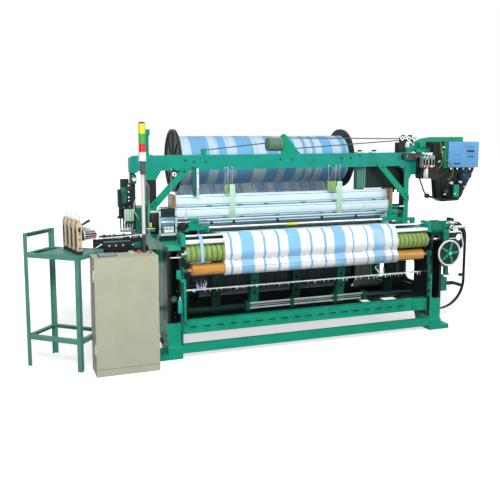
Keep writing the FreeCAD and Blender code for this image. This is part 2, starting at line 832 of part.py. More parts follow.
node(take_up_roller(), "take_up_roller")
node(roller_wrap(), "roller_wrap")
node(handwheel(), "handwheel")
node(take_up_gearbox(), "take_up_gearbox")
node(brake_lever(), "brake_lever")
node(both_sides(cloth_arm()), "cloth_arms")
node(cloth_roller(), "cloth_roller")
node(winding(size.roll_radius, size.roller_radius, size.cloth_half,
             size.roller_depth, size.roller_height), "cloth_roll")
node(rod(8, 2 * journal_end, "X", -journal_end, 100, 550), "start_bar")


# ---- temple ----------------------------------------------------------------------

def temple_side():
    """A right L block with its foot and its arm to the side frame, in one piece."""
    return fuse(
        box(90, 40, 106, 950, 358, 1011), box(90, 40, 35, 860, 358, 1011),
        box(164, 30, 30, 1040, 360, 1000), box(20, 40, 40, 860, 345, 995),
        box(40, 30, 1030 - size.table_height, half_inner, 360, size.table_height))


node(group(
    rod(12, 1720, "X", -860, 385, 1024), box(1720, 30, 15, -860, 345, 996),
    temple_side(), mirrored(temple_side())), "temple")


# ---- sley, reed and heald frames -------------------------------------------------

def sley():
    """Rocking shaft, swords with their adjusting holes, and the beam under the reed."""
    end = half_inner + size.wall
    shaft = rod(30, 2 * end, "X", -end, size.sley_axis_depth, size.sley_axis_height)
    beam = cut(plate("YZ", -1080, 2160, [(440, 900), (440, 968), (510, 951), (510, 900)]),
               box(1860, 10, 40, -930, size.reed_depth - 5, 950))
    swords = []
    for x in (-1050, -750, -380, 40, 510, 1050):
        sword = plate("YZ", x - 40, 80, [
            (508, 250), (448, 905), (490, 905), (572, 250), (556, 218), (524, 218)])
        holes = [rod(13, 200, "Y", x, 400, z) for z in (380, 500, 620, 740)]
        swords.append(cut(sword, *holes))
    return fuse(shaft, beam, *swords)


def reed():
    """The dents as one wall with a gap for each warp strip, and the cap rail."""
    owner = body()
    gaps, pitch = 92, size.yarn_pitch
    form = sketch(owner, "XZ", size.reed_depth - 5)
    rectangle(form, -930, 950, 930, 1058)
    pad(owner, form, 10, back=True)
    gap = sketch(owner, "XZ", size.reed_depth - 5)
    first = -(gaps / 2) * pitch
    rectangle(gap, first + 3, 958, first + 17, 1056)
    opened = pocket(owner, gap, 10)
    pattern(owner, opened, "X", (gaps - 1) * pitch, gaps)
    cap = sketch(owner, "XZ", 455)
    rectangle(cap, -930, 1058, 930, 1090)
    pad(owner, cap, 35, back=True)
    return owner


def heald_frame(number):
    """Slats, end stays and a row of healds. Odd frames are down, even ones up."""
    owner = body()
    rise = size.heald_lift if number % 2 == 0 else size.heald_lift * 0
    top = size.heald_top + rise
    low = top - size.heald_drop
    front = size.heald_depth + (number - 1) * size.heald_pitch - size.slat_thick / 2
    half = size.heald_half
    form = sketch(owner, "XZ", front)
    rectangle(form, -half, low, half, top)
    pad(owner, form, size.slat_thick, back=True)
    opening = sketch(owner, "XZ", front)
    rectangle(opening, -half + 22, low + 90, half - 22, top - size.slat_height)
    pocket(owner, opening, size.slat_thick)
    heald = sketch(owner, "XZ", front + 5)
    first = -11 * 4 * size.yarn_pitch + (number - 1) * size.yarn_pitch
    rectangle(heald, first - 1.5, low + 85, first + 1.5, top - size.slat_height + 5)
    wire = pad(owner, heald, 4, back=True)
    pattern(owner, wire, "X", 21 * 4 * size.yarn_pitch, 22)
    return owner


def heald_guide():
    """A wooden guide with a groove for each frame, on its arm from the post."""
    owner = body()
    form = sketch(owner, "XY", 960)
    points = [(1125, 750), (1125, 590), (1093, 590)]
    for i in range(4):
        y = size.heald_depth + i * size.heald_pitch
        points += [(1093, y - 7.5), (1101, y - 7.5), (1101, y + 7.5), (1093, y + 7.5)]
    outline(form, points + [(1093, 750)])
    pad(owner, form, 340)
    arm = sketch(owner, "YZ", 1125)
    rectangle(arm, 620, 1045, 660, 1080)
    pad(owner, arm, size.post_inner - 1125)
    return owner


node(sley(), "sley")
node(reed(), "reed")
for number in range(1, 5):
    node(heald_frame(number), f"heald_frame_{number}")
node(both_sides(heald_guide()), "heald_guides")


def drop_wire_rack():
    """Contact rails over the warp, with drop wires between the warp strips."""
    rails = [box(2 * half_inner, 8, 22, -half_inner, y, 1046) for y in (1070, 1150)]
    wires = []
    for y in (1064, 1144):
        for i in range(-21, 22):
            wires.append(box(2, 20, 100, 2 * i * size.yarn_pitch - 1, y, 962))
    return fuse(*rails, *wires)


node(drop_wire_rack(), "drop_wire_rack")


# ---- rapier wheels and their tape guides -----------------------------------------

wheel_back = size.rapier_depth + size.rapier_width
arm_front = wheel_back + 10


def rapier_wheel():
    """The toothed-tape wheel: rim, web with openings, hub and its shaft."""
    x, y, z = size.rapier_side, size.rapier_depth, size.rapier_height
    rim = cut(rod(size.rapier_radius, size.rapier_width, "Y", x, y, z),
              rod(size.rapier_radius - 16, size.rapier_width + 20, "Y", x, y - 10, z))
    web = rod(size.rapier_radius - 10, 12, "Y", x, y + 14, z)
    holes = []
    for i in range(6):
        angle = math.radians(60 * i)
        spread = size.rapier_radius - 68
        holes.append(rod(34, 40, "Y", x + spread * math.cos(angle), y,
                         z + spread * math.sin(angle)))
    hub = rod(34, size.rapier_width, "Y", x, y, z)
    shaft = rod(16, 70, "Y", x, y + 20, z)
    return fuse(rim, cut(web, *holes), hub, shaft)


def tape_guide():
    """The channel that leads the rapier tape over the wheel and down in a bow."""
    x, z, radius = plain("rapier_side", "rapier_height", "rapier_radius")
    width, = plain("rapier_width")
    reach = radius + 6
    thick, foot_radius, foot_x, foot_z = 8, 280, 1586, 365

    def spot(centre_x, centre_z, r, degrees):
        angle = math.radians(degrees)
        return Vector(centre_x + r * math.cos(angle), 0, centre_z + r * math.sin(angle))

    line = []
    for r0, r1 in ((reach, foot_radius), (reach + thick, foot_radius + thick)):
        over = [spot(x, z, r0, degrees) for degrees in (110, 55, 0)]
        bow = [spot(foot_x, foot_z, r1, degrees) for degrees in (0, -55, -110)]
        line.append([Part.Arc(*over), Part.LineSegment(over[2], bow[0]), Part.Arc(*bow)])
    edges = [piece.toShape() for row in line for piece in row]
    for k, end in ((0, "StartPoint"), (2, "EndPoint")):
        near, far = getattr(line[0][k], end), getattr(line[1][k], end)
        edges.append(Part.LineSegment(near, far).toShape())
    face = Part.Face(Part.Wire(Part.__sortEdges__(edges)))
    return scripted(face.extrude(Vector(0, width - 6, 0)), size.rapier_depth + 3)


def rapier_guide():
    """The wheel's bearing arm, the tape guide and its two struts to the side frame."""
    outer = half_inner + size.casting_width
    x, z = size.rapier_side, size.rapier_height
    arm = plate("XZ", arm_front, 40, [
        (outer, z - 70), (outer, z + 50), (x - 20, z + 34), (x + 34, z + 20),
        (x + 34, z - 20), (x - 20, z - 34)])
    bored = cut(arm, rod(16 + running, 60, "Y", x, arm_front - 5, z))
    top = box(22, 90, 26, x - 11, size.rapier_depth, z + size.rapier_radius + 12)
    post = box(22, 20, size.rapier_radius + 8, x - 11, arm_front + 20, z + 30)
    strut = plate("XZ", size.rapier_depth + 8, 24, [
        (outer, 322), (outer, 356), (1740, 352), (1830, 324), (1860, 308), (1855, 284),
        (1815, 292), (1740, 318)])
    stop = box(52, 30, 26, 1816, 385, 398)
    low = box(170, 24, 16, outer, size.rapier_depth + 8, 92)
    heel = box(12, 212, 30, outer, 200, 86)
    return group(fuse(bored, top, post), fuse(tape_guide(), strut, stop, low, heel))


node(mirrored(rapier_wheel()), "left_rapier_wheel")
node(rapier_wheel(), "right_rapier_wheel")
node(both_sides(rapier_guide()), "rapier_guides")


def harness_guard():
    """Sheet plate behind the right post, with three round openings."""
    sheet_plate = box(430, 6, 290, 870, arch_back, 1250)
    holes = [rod(17, 20, "Y", x, 680, z) for x, z in ((1222, 1262), (1244, 1300), (1281, 1275))]
    return cut(sheet_plate, box(262, 20, 53, 865, 680, 1248), *holes)


def gripper_plate():
    """Open-framed plate beside the left gripper's way in, and its small arc cover."""
    panel = box(152, 12, 275, -1318, 285, size.table_height)
    recess = box(120, 6, 200, -1302, 285, 985)
    return cut(panel, recess)


node(group(harness_guard(), gripper_plate()), "covers")


# ---- fittings on the arch --------------------------------------------------------

def centre_bracket():
    """A triangular bracket on the arch and the tension drum on its side."""
    web = plate("XZ", 640, 20, [(-58, 1651), (-58, 1822), (-44, 1836), (-20, 1836), (137, 1651)])
    drum = rod(62, 140, "X", -198, 650, 1741)
    end = rod(30, 12, "X", -210, 650, 1741)
    return group(web, fuse(drum, end))


def overhead_rods():
    """The rod to the left stop and the two stay rods to the right mechanism."""
    stop = box(40, 30, 54, -835, 635, arch_top)
    left = cut(slanted_rod(5, (-170, 650, 1757), (-820, 650, 1692)),
               rod(62.3, 140, "X", -198, 650, 1741), rod(30.3, 12.3, "X", -210.3, 650, 1741))
    grip = fuse(stop, left)
    upper = slanted_rod(5, (-20, 650, 1800), (1230, 632, 1788))
    lower = slanted_rod(5, (80, 650, 1700), (1230, 632, 1772))
    tools = [box(195, 20, 190, -58, 640, 1651), box(150, 24, 60, 1212, 613, 1752)]
    return grip, upper, lower, tools


def top_mechanism():
    """Black block and a plate of levers on the arch's right end."""
    block = box(104, 30, 101, 1168, 611, arch_top)
    levers = fuse(
        box(150, 24, 52, 1212, 613, 1752), rod(24, 24, "Y", 1250, 613, 1800),
        rod(30, 24, "Y", 1330, 613, 1795), box(90, 12, 16, 1320, 617, 1788))
    return group(block, levers)


node(top_mechanism(), "top_mechanism")
grip, upper, lower, tools = overhead_rods()
web_edge = plate("XZ", 639, 22, [
    (-58, 1651), (-58, 1822), (-44, 1836), (-20, 1836), (137, 1651)])
node(group(centre_bracket(), grip, cut(upper, web_edge, tools[1]),
           cut(lower, web_edge, tools[1])), "overhead_rigging")


def dobby_arch():
    """The curved casting over the dobby and the bracket to the arch beam."""
    bow = plate("XZ", 648, 40, [
        (1310, 1651), (1310, 1690), (1400, 1752), (1490, 1788), (1597, 1803), (1988, 1803),
        (1988, 1755), (1559, 1755), (1520, 1742), (1440, 1708), (1375, 1651)])
    cylinder = rod(40, 70, "X", 1436, 640, 1716)
    arm = box(165, 50, 36, 1395, 600, 1651)
    bracket = plate("XZ", 620, 60, [
        (1406, 1540), (1402, 1620), (size.dobby_left, 1640), (size.dobby_left, 1500)])
    rail = box(56, 25, 125, 1780, 483, 1200)
    return fuse(bow, cylinder, arm), bracket, rail


def dobby_case():
    """The dobby housing: a tapered box with a front case, a cover and cast ribs."""
    owner = body()
    left = size.dobby_left
    form = sketch(owner, "XZ", size.dobby_front)
    outline(form, [
        (left, 1755), (left + 470, 1755), (left + 480, 1480), (left + 390, 1304),
        (left + 302, 1160), (left + 95, 1155), (left + 45, 1185), (left + 23, 1375),
        (left, 1400)])
    pad(owner, form, size.dobby_deep, back=True)
    rounded(owner, 25, lambda edge: runs_along(edge, "Y"))
    front = sketch(owner, "XZ", size.dobby_front)
    rectangle(front, 1402, 1392, 1600, 1600)
    pad(owner, front, 95, back=True)
    cover = sketch(owner, "XZ", size.dobby_front)
    outline(cover, [
        (left + 65, 1440), (left + 410, 1440), (left + 345, 1320), (left + 275, 1200),
        (left + 110, 1195), (left + 80, 1215)])
    pad(owner, cover, 12)
    ribs = sketch(owner, "XZ", size.dobby_front + size.dobby_deep)
    rectangle(ribs, left + 60, 1250, left + 75, 1700)
    rib = pad(owner, ribs, 14, back=True)
    pattern(owner, rib, "X", 300, 4)
    return owner


def dobby_fittings():
    """Solenoid motor, air cylinder, valves, connectors and the linkage below."""
    motor = rod(36, 98, "X", 1850, 478, 1416)
    motor_end = rod(24, 14, "X", 1948, 478, 1416)
    cylinder = rod(19, 95, "Z", 1455, 508, 1393)
    valves = [box(28, 34, 66 + 12 * (i % 2), 1398 + 36 * i, 488, 1520) for i in range(4)]
    manifold = box(150, 28, 18, 1392, 494, 1592)
    sockets = [box(20, 32, 66, x, 480, 1316) for x in (1722, 1850)]
    tube = rod(9, 190, "X", 1660, 513, 1176)
    knuckle = rod(24, 24, "Y", 1506, 548, 1215)
    link = [slanted_rod(7, (1411, 560, 1396), (1469, 560, 1262)),
            slanted_rod(7, (1469, 560, 1262), (1506, 560, 1215)),
            slanted_rod(10, (1506, 560, 1215), (1610, 560, 1188))]
    return [motor, motor_end, cylinder, manifold, tube, knuckle, *valves, *sockets, *link]


bow, bracket, rail = dobby_arch()
node(group(bow, cut(bracket, plate("XZ", 600, 100, [
    (1380, 1518), (1400, 1651), (1422, 1430), (1388, 1430), (1370, 1518)])), rail), "dobby_arch")
node(fuse(dobby_case(), *dobby_fittings()), "dobby_case")


def dobby_levers():
    """The row of jacks that comes out of the dobby towards the harness wires."""
    jacks = []
    for i in range(5):
        jacks.append(plate("XZ", size.dobby_front + 180 + 32 * i, 8, [
            (1440, 1700), (1440, 1722), (1480, 1752), (size.dobby_left, 1740),
            (size.dobby_left, 1715), (1490, 1722)]))
    bar = rod(10, 150, "Y", 1500, size.dobby_front + 174, 1736)
    return fuse(*jacks, bar)


node(dobby_levers(), "dobby_levers")


def control_box():
    owner = body()
    form = sketch(owner, "XZ", 400)
    rectangle(form, 1700, 1500, 2060, 1757)
    pad(owner, form, 120, back=True)
    rounded(owner, 8, lambda edge: runs_along(edge, "Y") or (
        edge.CenterOfMass.y < 401 and not runs_along(edge, "Y")))
    screen = sketch(owner, "XZ", 400)
    rectangle(screen, 1920, 1655, 2015, 1680)
    rectangle(screen, 1920, 1612, 2015, 1622)
    pocket(owner, screen, 3)
    return owner


node(control_box(), "control_box")


def button_station():
    """A round-ended box on the arch with bores for its buttons."""
    owner = body()
    form = sketch(owner, "XZ", size.arch_front - 50)
    racetrack(form, 1307, 1613, 52, 32)
    pad(owner, form, 50, back=True)
    lamps = sketch(owner, "XZ", size.arch_front - 50)
    circle(lamps, 1290, 1613, 10)
    circle(lamps, 1326, 1613, 10)
    pad(owner, lamps, 6)
    bores = sketch(owner, "XZ", size.arch_front - 50)
    for x in (1255, 1361):
        circle(bores, x, 1613, 5.3)
    pocket(owner, bores, 30)
    return owner


def push_button(x):
    face = size.arch_front - 50
    return fuse(rod(11, 10, "Y", x, face - 15, 1613), rod(5, 24, "Y", x, face - 5, 1613))


node(button_station(), "button_station")
node(push_button(1255), "start_button")
node(push_button(1361), "stop_button")


# ---- control cabinet and signal tower --------------------------------------------

cabinet_right = size.cabinet_left + size.cabinet_width
shell_front = size.cabinet_front + size.door_thick
cabinet_back = size.cabinet_front + size.cabinet_depth
hinge_x, hinge_y = size.cabinet_left - 7, shell_front - 7


def cabinet_shell():
    """A sheet case, open in front for its door, with a plinth and a vent on top."""
    owner = body()
    skin = size.cabinet_wall
    form = sketch(owner, "XY")
    rectangle(form, size.cabinet_left, shell_front, cabinet_right, cabinet_back)
    pad(owner, form, size.cabinet_height)
    inside = sketch(owner, "XZ", shell_front)
    rectangle(inside, size.cabinet_left + skin, 60, cabinet_right - skin,
              size.cabinet_height - skin)
    pocket(owner, inside, size.cabinet_depth - size.door_thick - skin)
    vent = sketch(owner, "XY", size.cabinet_height)
    for i in range(7):
        rectangle(vent, -1890 + i * 20, -140, -1880 + i * 20, -10)
    pocket(owner, vent, skin)
    knob = sketch(owner, "XY", size.cabinet_height)
    circle(knob, -1560, -50, 6 + running)
    pocket(owner, knob, skin)
    switch = sketch(owner, "XY", size.cabinet_height)
    rectangle(switch, -1630, -65, -1606, -35)
    pad(owner, switch, 22)
    return owner


def hinge_half(low, on_door):
    """One knuckle of a door hinge and its leaf."""
    knuckle = rod(6, 29.7, "Z", hinge_x, hinge_y, low)
    if on_door:
        return fuse(knuckle, box(7, 6, 29.7, hinge_x, hinge_y - 3, low))
    leaf = box(4, 44, 29.7, size.cabinet_left - 4, hinge_y, low)
    return fuse(knuckle, leaf)


def plinth():
    return box(size.cabinet_width, size.door_thick, 55, size.cabinet_left, size.cabinet_front, 0)


def cabinet_door():
    panel = box(size.cabinet_width, size.door_thick, size.cabinet_height - 58,
                size.cabinet_left, size.cabinet_front, 58)
    return fuse(panel, *[hinge_half(low, True) for low in (180, 740)])


node(fuse(cabinet_shell(), plinth(), *[hinge_half(low + 30, False) for low in (180, 740)]),
     "cabinet_shell")
node(cabinet_door(), "cabinet_door")
board_y = cabinet_back - size.cabinet_wall - 6
node(fuse(
    box(420, 6, 760, -1900, board_y, 90), box(150, 110, 240, -1880, board_y - 110, 540),
    box(170, 90, 170, -1690, board_y - 90, 600), box(380, 60, 60, -1880, board_y - 60, 400),
    box(380, 70, 120, -1880, board_y - 70, 180)), "cabinet_gear")


def signal_tower():
    """Base, pole, collar, four lens rings and a cap."""
    x, y, base = -1515, -30, size.cabinet_height
    levels = [
        (20, 14), (15, 130), (13.5, 470), (20, 103), (31, 69), (27, 69), (27, 73), (27, 77),
        (24, 15)]
    things, z = [], base
    for radius, tall in levels:
        things.append(rod(radius, tall, "Z", x, y, z))
        z = z + tall
    return group(*things)


node(signal_tower(), "signal_tower")
node(fuse(rod(15, 14, "Z", -1560, -50, size.cabinet_height + 9),
          rod(6, 26, "Z", -1560, -50, size.cabinet_height - 16)), "stop_knob")


# ---- weft feeders on their stand -------------------------------------------------

stand_turn = Rotation(Vector(0, 0, 1), driving["stand_turn"])


def set_down(x, y, z, turn, *things):
    """Turns things drawn about the front left corner of the feet and moves them."""
    lead = turn.multVec(Vector(0, number_of(size.mid_depth), 0))
    return place(group(*things), x + lead.x, y + lead.y, z, turn)


def angle_bar(length, axis, u, w, z, flip_u=False, flip_w=False):
    """An angle-steel bar. Its two legs lie on the outside of the stand."""
    leg, thin = size.angle_leg, size.angle_thick
    if axis == "Z":
        du = leg - thin if flip_u else leg * 0
        dw = leg - thin if flip_w else leg * 0
        return fuse(box(leg, thin, length, u, w + dw, z), box(thin, leg, length, u + du, w, z))
    if axis == "U":
        dw = leg - thin if flip_w else leg * 0
        return fuse(box(length, leg, thin, u, w, z + leg - thin),
                    box(length, thin, leg, u, w + dw, z))
    du = leg - thin if flip_u else leg * 0
    return fuse(box(leg, length, thin, u, w, z + leg - thin),
                box(thin, length, leg, u + du, w, z))


def feeder_stand():
    long, wide, leg = size.stand_length, size.stand_width, size.angle_leg
    table, tall = size.stand_table, size.stand_height
    bars = []
    for u, w, high in ((0, 0, tall), (0, 1, tall), (1, 0, table), (1, 1, table)):
        bars.append(angle_bar(
            high, "Z", u * (long - leg), w * (wide - leg), 0, u == 1, w == 1))
    for z in (table - leg, 220):
        for w in (0, 1):
            bars.append(angle_bar(long - 2 * leg, "U", leg, w * (wide - leg), z, flip_w=w == 1))
        for u in (0, 1):
            bars.append(angle_bar(wide - 2 * leg, "W", u * (long - leg), leg, z, flip_u=u == 1))
    bars.append(angle_bar(wide - 2 * leg, "W", leg * 0, leg, tall - leg))
    bars.append(box(long - 130, wide, 4, 130, 0, table))
    eyes = []
    for i in range(4):
        w = 75 + i * 70
        eyes.append(cut(rod(11, 14, "X", -14, w, tall - 18), rod(5, 20, "X", -16, w, tall - 18)))
    return group(*bars, *eyes)


node(set_down(size.stand_x, size.stand_y, 0, stand_turn, feeder_stand()), "feeder_stand")

feeder_turn = Rotation(Vector(0, 0, 1), 11.4)
feeder_pitch = 100
feeder_middle = Vector(-2037, 165, 0)
feeder_height = number_of(size.stand_table) + 4
shaft_up = 150


def feeder_place(index):
    """The feeder's own frame: u along its drum, w across, on the stand's table."""
    step = feeder_turn.multVec(Vector(0, -feeder_pitch * (index - 1.5), 0))
    spot = feeder_middle + step
    return spot.x, spot.y, feeder_height


def feeder_body():
    """Housing, clamp foot and the still drum on its shaft with eight fins."""
    housing = fuse(
        box(50, 84, 215, -30, -42, 30), box(34, 60, 24, -21, -30, 245),
        box(44, 40, 30, -26, -20, 0))
    shaft = rod(8, 60, "X", 20, 0, shaft_up)
    core = cone(34, 22, 96, "X", 40, 0, shaft_up)
    things = [housing, shaft, core]
    for i in range(8):
        fin = doc.addObject("Part::Box", "fin")
        fin.Length, fin.Width, fin.Height = 90, 5, 42
        turn = Rotation(Vector(1, 0, 0), 45 * i)
        offset = turn.multVec(Vector(0, -2.5, 0))
        things.append(place(fin, 40, offset.y, shaft_up + offset.z, turn))
    return fuse(*things)


def feeder_flyer():
    """The winding disc that turns between the housing and the drum."""
    disc = fuse(rod(44, 8, "X", 26, 0, shaft_up), rod(20, 12, "X", 24, 0, shaft_up))
    return cut(disc, rod(8 + running, 30, "X", 15, 0, shaft_up))


def placed_feeder(make, index):
    """A feeder piece in its place on the stand."""
    return set_down(*feeder_place(index), feeder_turn, make())


node(group(*[placed_feeder(feeder_body, i) for i in range(4)]), "feeder_bodies")
for i in range(4):
    node(placed_feeder(feeder_flyer, i), f"feeder_flyer_{i + 1}")


# ---- weft selector on the left ---------------------------------------------------

def weft_selector():
    """A hanger from the arch with solenoids, selector arms and the weft guides."""
    hanger = fuse(
        box(40, 60, 1518 - 14 - 985, -1485, 620, 985),
        box(40, 330, 30, -1485, 290, 985), box(400, 26, 16, -1862, 290, 969),
        box(40, 26, 16, -1485, 290, 969))
    solenoids = [rod(22, 84, "Z", x, 645, 1128) for x in (-1568, -1520)]
    seat = box(115, 50, 18, -1600, 620, 1110)
    crown = fuse(box(110, 46, 150, -1595, 622, 1212), box(70, 40, 90, -1570, 625, 1362))
    fingers = [box(8, 20, 120, -1585 + 24 * i, 600, 1020) for i in range(4)]
    rods = [rod(7, 330, "X", -1815, y, 1010) for y in (292, 309)]
    posts = [box(14, 26, 40, x, 290, 985) for x in (-1850, -1780, -1700, -1620, -1540)]
    return fuse(hanger, seat, crown, *solenoids, *fingers, *rods, *posts)


node(weft_selector(), "weft_selector")


# ---- inside the loom -------------------------------------------------------------

def inner_linkage():
    """Cross rods with their clamps behind the front beam."""
    threaded = rod(7, size.inner_width, "X", -half_inner, 330, 310)
    upper_rod = rod(9, 1220, "X", -520, 300, 338)
    lower_rod = rod(8, 1180, "X", -560, 296, 296)
    clamps = [box(34, 66, 78, x, 282, 276) for x in (-540, -110, 330, 640)]
    return fuse(threaded, upper_rod, lower_rod, *clamps)


def main_motor():
    """Foot-mounted motor on the rear tie bar with its pulley."""
    frame = rod(82, 250, "X", -1080, 872, 352)
    fins = [box(200, 5, 180, -1055, 869.5 + 40 * i, 262 + 12 * abs(i)) for i in (-1, 0, 1)]
    feet = box(170, 56, 30, -1040, 862, 260)
    return fuse(frame, *fins, feet, rod(14, 62, "X", -1140, 872, 352),
                rod(58, 36, "X", -1140, 872, 352), box(70, 60, 60, -1000, 842, 400))


node(inner_linkage(), "inner_linkage")
node(main_motor(), "main_motor")


# ---- check and write -------------------------------------------------------------

doc.recompute()
for thing in doc.Objects:
    if "Invalid" in thing.State or "Error" in thing.State:
        raise RuntimeError(f"{thing.Name} ({thing.Label}) failed: {thing.State}")
for thing in nodes:
    if thing.Shape.isNull() or not thing.Shape.isValid():
        raise RuntimeError(f"{thing.Label} has no valid shape")
for thing in nodes:
    thing.Shape.exportStep(f"parts/{thing.Label}.step")
print(len(nodes), "parts written")
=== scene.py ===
import math
import random
from functools import partial

import bmesh
import bpy
from mathutils import Matrix, Vector


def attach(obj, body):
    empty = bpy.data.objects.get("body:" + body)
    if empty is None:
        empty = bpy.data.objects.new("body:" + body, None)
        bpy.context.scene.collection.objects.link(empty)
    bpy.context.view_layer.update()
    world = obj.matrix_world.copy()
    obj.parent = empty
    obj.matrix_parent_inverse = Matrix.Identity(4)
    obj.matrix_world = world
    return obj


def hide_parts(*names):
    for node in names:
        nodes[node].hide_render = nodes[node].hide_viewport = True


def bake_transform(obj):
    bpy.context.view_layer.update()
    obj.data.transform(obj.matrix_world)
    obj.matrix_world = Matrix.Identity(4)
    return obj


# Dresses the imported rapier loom. Machine sizes below are millimetres, with depths counted
# from the front of the feet, and at() brings them to the frame in metres. In the tables of
# parts, a box is its spans in X, Y and Z, then its bevel and material, and a rod is its two
# ends, its two radii, its number of sides and its material.

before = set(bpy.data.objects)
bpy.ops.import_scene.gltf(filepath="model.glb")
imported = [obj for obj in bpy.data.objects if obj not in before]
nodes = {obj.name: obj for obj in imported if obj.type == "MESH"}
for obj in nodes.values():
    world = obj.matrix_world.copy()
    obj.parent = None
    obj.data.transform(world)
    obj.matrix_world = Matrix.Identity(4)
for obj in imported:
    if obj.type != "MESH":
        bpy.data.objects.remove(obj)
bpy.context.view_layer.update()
print("frame loaded")

midDepth = 750
clothBands = [(-690, -574), (-262, -146), (177, 291), (575, 688)]
clothLines = [-779, -480, -351, -44, 92, 368, 508, 765]
beamBands = [(-798, -617), (-525, -439), (-333, -156), (-21, 96), (190, 300), (388, 422),
             (485, 525), (600, 721), (821, 880)]
yarnHalf = 910


def at(x, y, z):
    return Vector((x / 1000, (y - midDepth) / 1000, z / 1000))


# ---- materials ----

def linear(hexColour):
    parts = [int(hexColour[i:i + 2], 16) / 255 for i in (1, 3, 5)]
    return [c / 12.92 if c <= 0.04045 else ((c + 0.055) / 1.055) ** 2.4 for c in parts] + [1]


def addNode(tree, kind, inputs=None, **settings):
    # An input takes a value, a socket, or a node, whose first live output is linked. By
    # number, a Mix has its factor at 0 and its colours at 6 and 7, and a MapRange has its
    # value at 0, its range at 1 and 2 and what that becomes at 3 and 4
    node = tree.nodes.new("ShaderNode" + kind)
    for name, value in settings.items():
        setattr(node, name, value)
    for name, value in (inputs or {}).items():
        if isinstance(value, bpy.types.Node):
            value = next(socket for socket in value.outputs if socket.enabled)
        if isinstance(value, bpy.types.NodeSocket):
            tree.links.new(value, node.inputs[name])
        else:
            node.inputs[name].default_value = value
    return node


def newMaterial(name, *grains):
    # with a noise for each grain, which is a size in mm and its detail
    material = bpy.data.materials.new(name)
    material.use_nodes = True
    material.node_tree.nodes.clear()
    add = partial(addNode, material.node_tree)
    place = add("TexCoord").outputs["Object"]
    noises = [add("TexNoise", {"Vector": place, "Scale": 1000 / size, "Detail": detail})
              for size, detail in grains]
    return material, add, place, *noises


def layered(add, tone, layers):
    # colours over a tone: each is a mask or a value, its colour, and for a value the two
    # measures between which the colour comes in
    for mask, hexColour, *span in layers:
        if span:
            mask = add("MapRange", {0: mask, 1: span[0], 2: span[1]})
        tone = add("Mix", {0: mask, 6: tone, 7: linear(hexColour)}, data_type="RGBA")
    return tone


def closeMaterial(material, add, look, height=None, strength=0.2, depth=0.0004):
    if height:
        look["Normal"] = add("Bump", {"Height": height, "Strength": strength,
                                      "Distance": depth})
    add("OutputMaterial", {"Surface": add("BsdfPrincipled", look)})
    return material


def stripeRamp(add, place, start, stripes, half):
    # a ground colour with stripes of (left, right, colour) in mm, over -half to half
    x = add("SeparateXYZ", {"Vector": place}).outputs["X"]
    ramp = add("ValToRGB", {"Fac": add("MapRange", {0: x, 1: -half / 1000, 2: half / 1000})})
    ramp.color_ramp.interpolation = "CONSTANT"
    stops = ramp.color_ramp.elements
    stops[0].color = linear(start)
    stops.remove(stops[1])
    for left, right, colour in sorted(stripes):
        for edge, look in ((left, colour), (right, start)):
            stops.new((edge + half) / (2 * half)).color = linear(look)
    return ramp


def boxMask(add, place, spans):
    # 1 inside the box of spans, in machine millimetres; absX is the distance from the middle
    parts = add("SeparateXYZ", {"Vector": place})
    mask = None
    for axis, (low, high) in spans.items():
        value = parts.outputs[axis[-1]]
        if axis == "absX":
            value = add("Math", {0: value}, operation="ABSOLUTE")
        shift = midDepth if axis == "Y" else 0
        hit = add("Math", {0: value, 1: ((low + high) / 2 - shift) / 1000,
                           2: (high - low) / 2000}, operation="COMPARE")
        mask = add("Math", {0: mask, 1: hit}, operation="MULTIPLY") if mask else hit
    return mask


def enamel(name, base, worn, grime, roughness=0.38, peel=3.0, dust=0.35, areas=None, bare=None):
    # Sprayed machine enamel: even, slightly wavy gloss with oily grime in patches. Areas
    # gives boxes of the piece in another colour, on some pieces another paint and on others
    # painted shade, and bare one of bright steel
    material, add, place, patches, specks, waves = newMaterial(
        name, (160, 6), (14, 3), (peel, 2))
    patches.inputs["Roughness"].default_value = 0.62
    spots = add("MapRange", {0: specks, 1: 0.6, 2: 0.72})
    dirt = add("Math", {0: spots, 1: dust}, operation="MULTIPLY")
    layers = [(patches, worn, 0.42, 0.68), (dirt, grime)]
    for hexColour, boxes in (areas or {}).items():
        layers += [(boxMask(add, place, spans), hexColour) for spans in boxes]
    gloss = add("MapRange", {0: patches, 1: 0.3, 2: 0.7, 3: roughness - 0.07,
                             4: roughness + 0.12})
    look = {"Roughness": gloss, "Specular IOR Level": 0.22}
    if bare:
        look["Metallic"] = boxMask(add, place, bare)
        layers.append((look["Metallic"], "#E6ECEE"))
    look["Base Color"] = layered(add, linear(base), layers)
    return closeMaterial(material, add, look, waves, 0.25)


def brushedMetal(name, bright, dark, roughness=0.3, run=(1, 30, 30), metallic=1.0):
    # Ground steel or drawn aluminium: fine scratches along the run, cloudy patches
    material, add, place, clouds = newMaterial(name, (90, 4))
    along = add("Mapping", {"Vector": place, "Scale": run})
    lines = add("TexNoise", {"Vector": along, "Scale": 1000 / 60, "Detail": 4})
    tone = layered(add, linear(bright), [(lines, dark, 0.35, 0.7), (clouds, dark, 0.62, 0.85)])
    gloss = add("MapRange", {0: lines, 3: roughness - 0.08, 4: roughness + 0.14})
    look = {"Base Color": tone, "Metallic": metallic, "Roughness": gloss}
    return closeMaterial(material, add, look, lines, 0.15, 0.0003)


def mouldedPlastic(name, base, shade, roughness=0.35, grain=1.2):
    # Moulded ABS: even colour with a fine spark-eroded grain
    material, add, _, clouds, fine = newMaterial(name, (70, 3), (grain, 1))
    look = {"Base Color": layered(add, linear(base), [(clouds, shade, 0.4, 0.75)]),
            "Roughness": roughness, "IOR": 1.53, "Specular IOR Level": 0.3}
    return closeMaterial(material, add, look, fine, 0.2, 0.0002)


def threadScale(spacing):
    # a wave texture repeats every tau / 20 of its scaled coordinate
    return 1000 * math.tau / (20 * spacing)


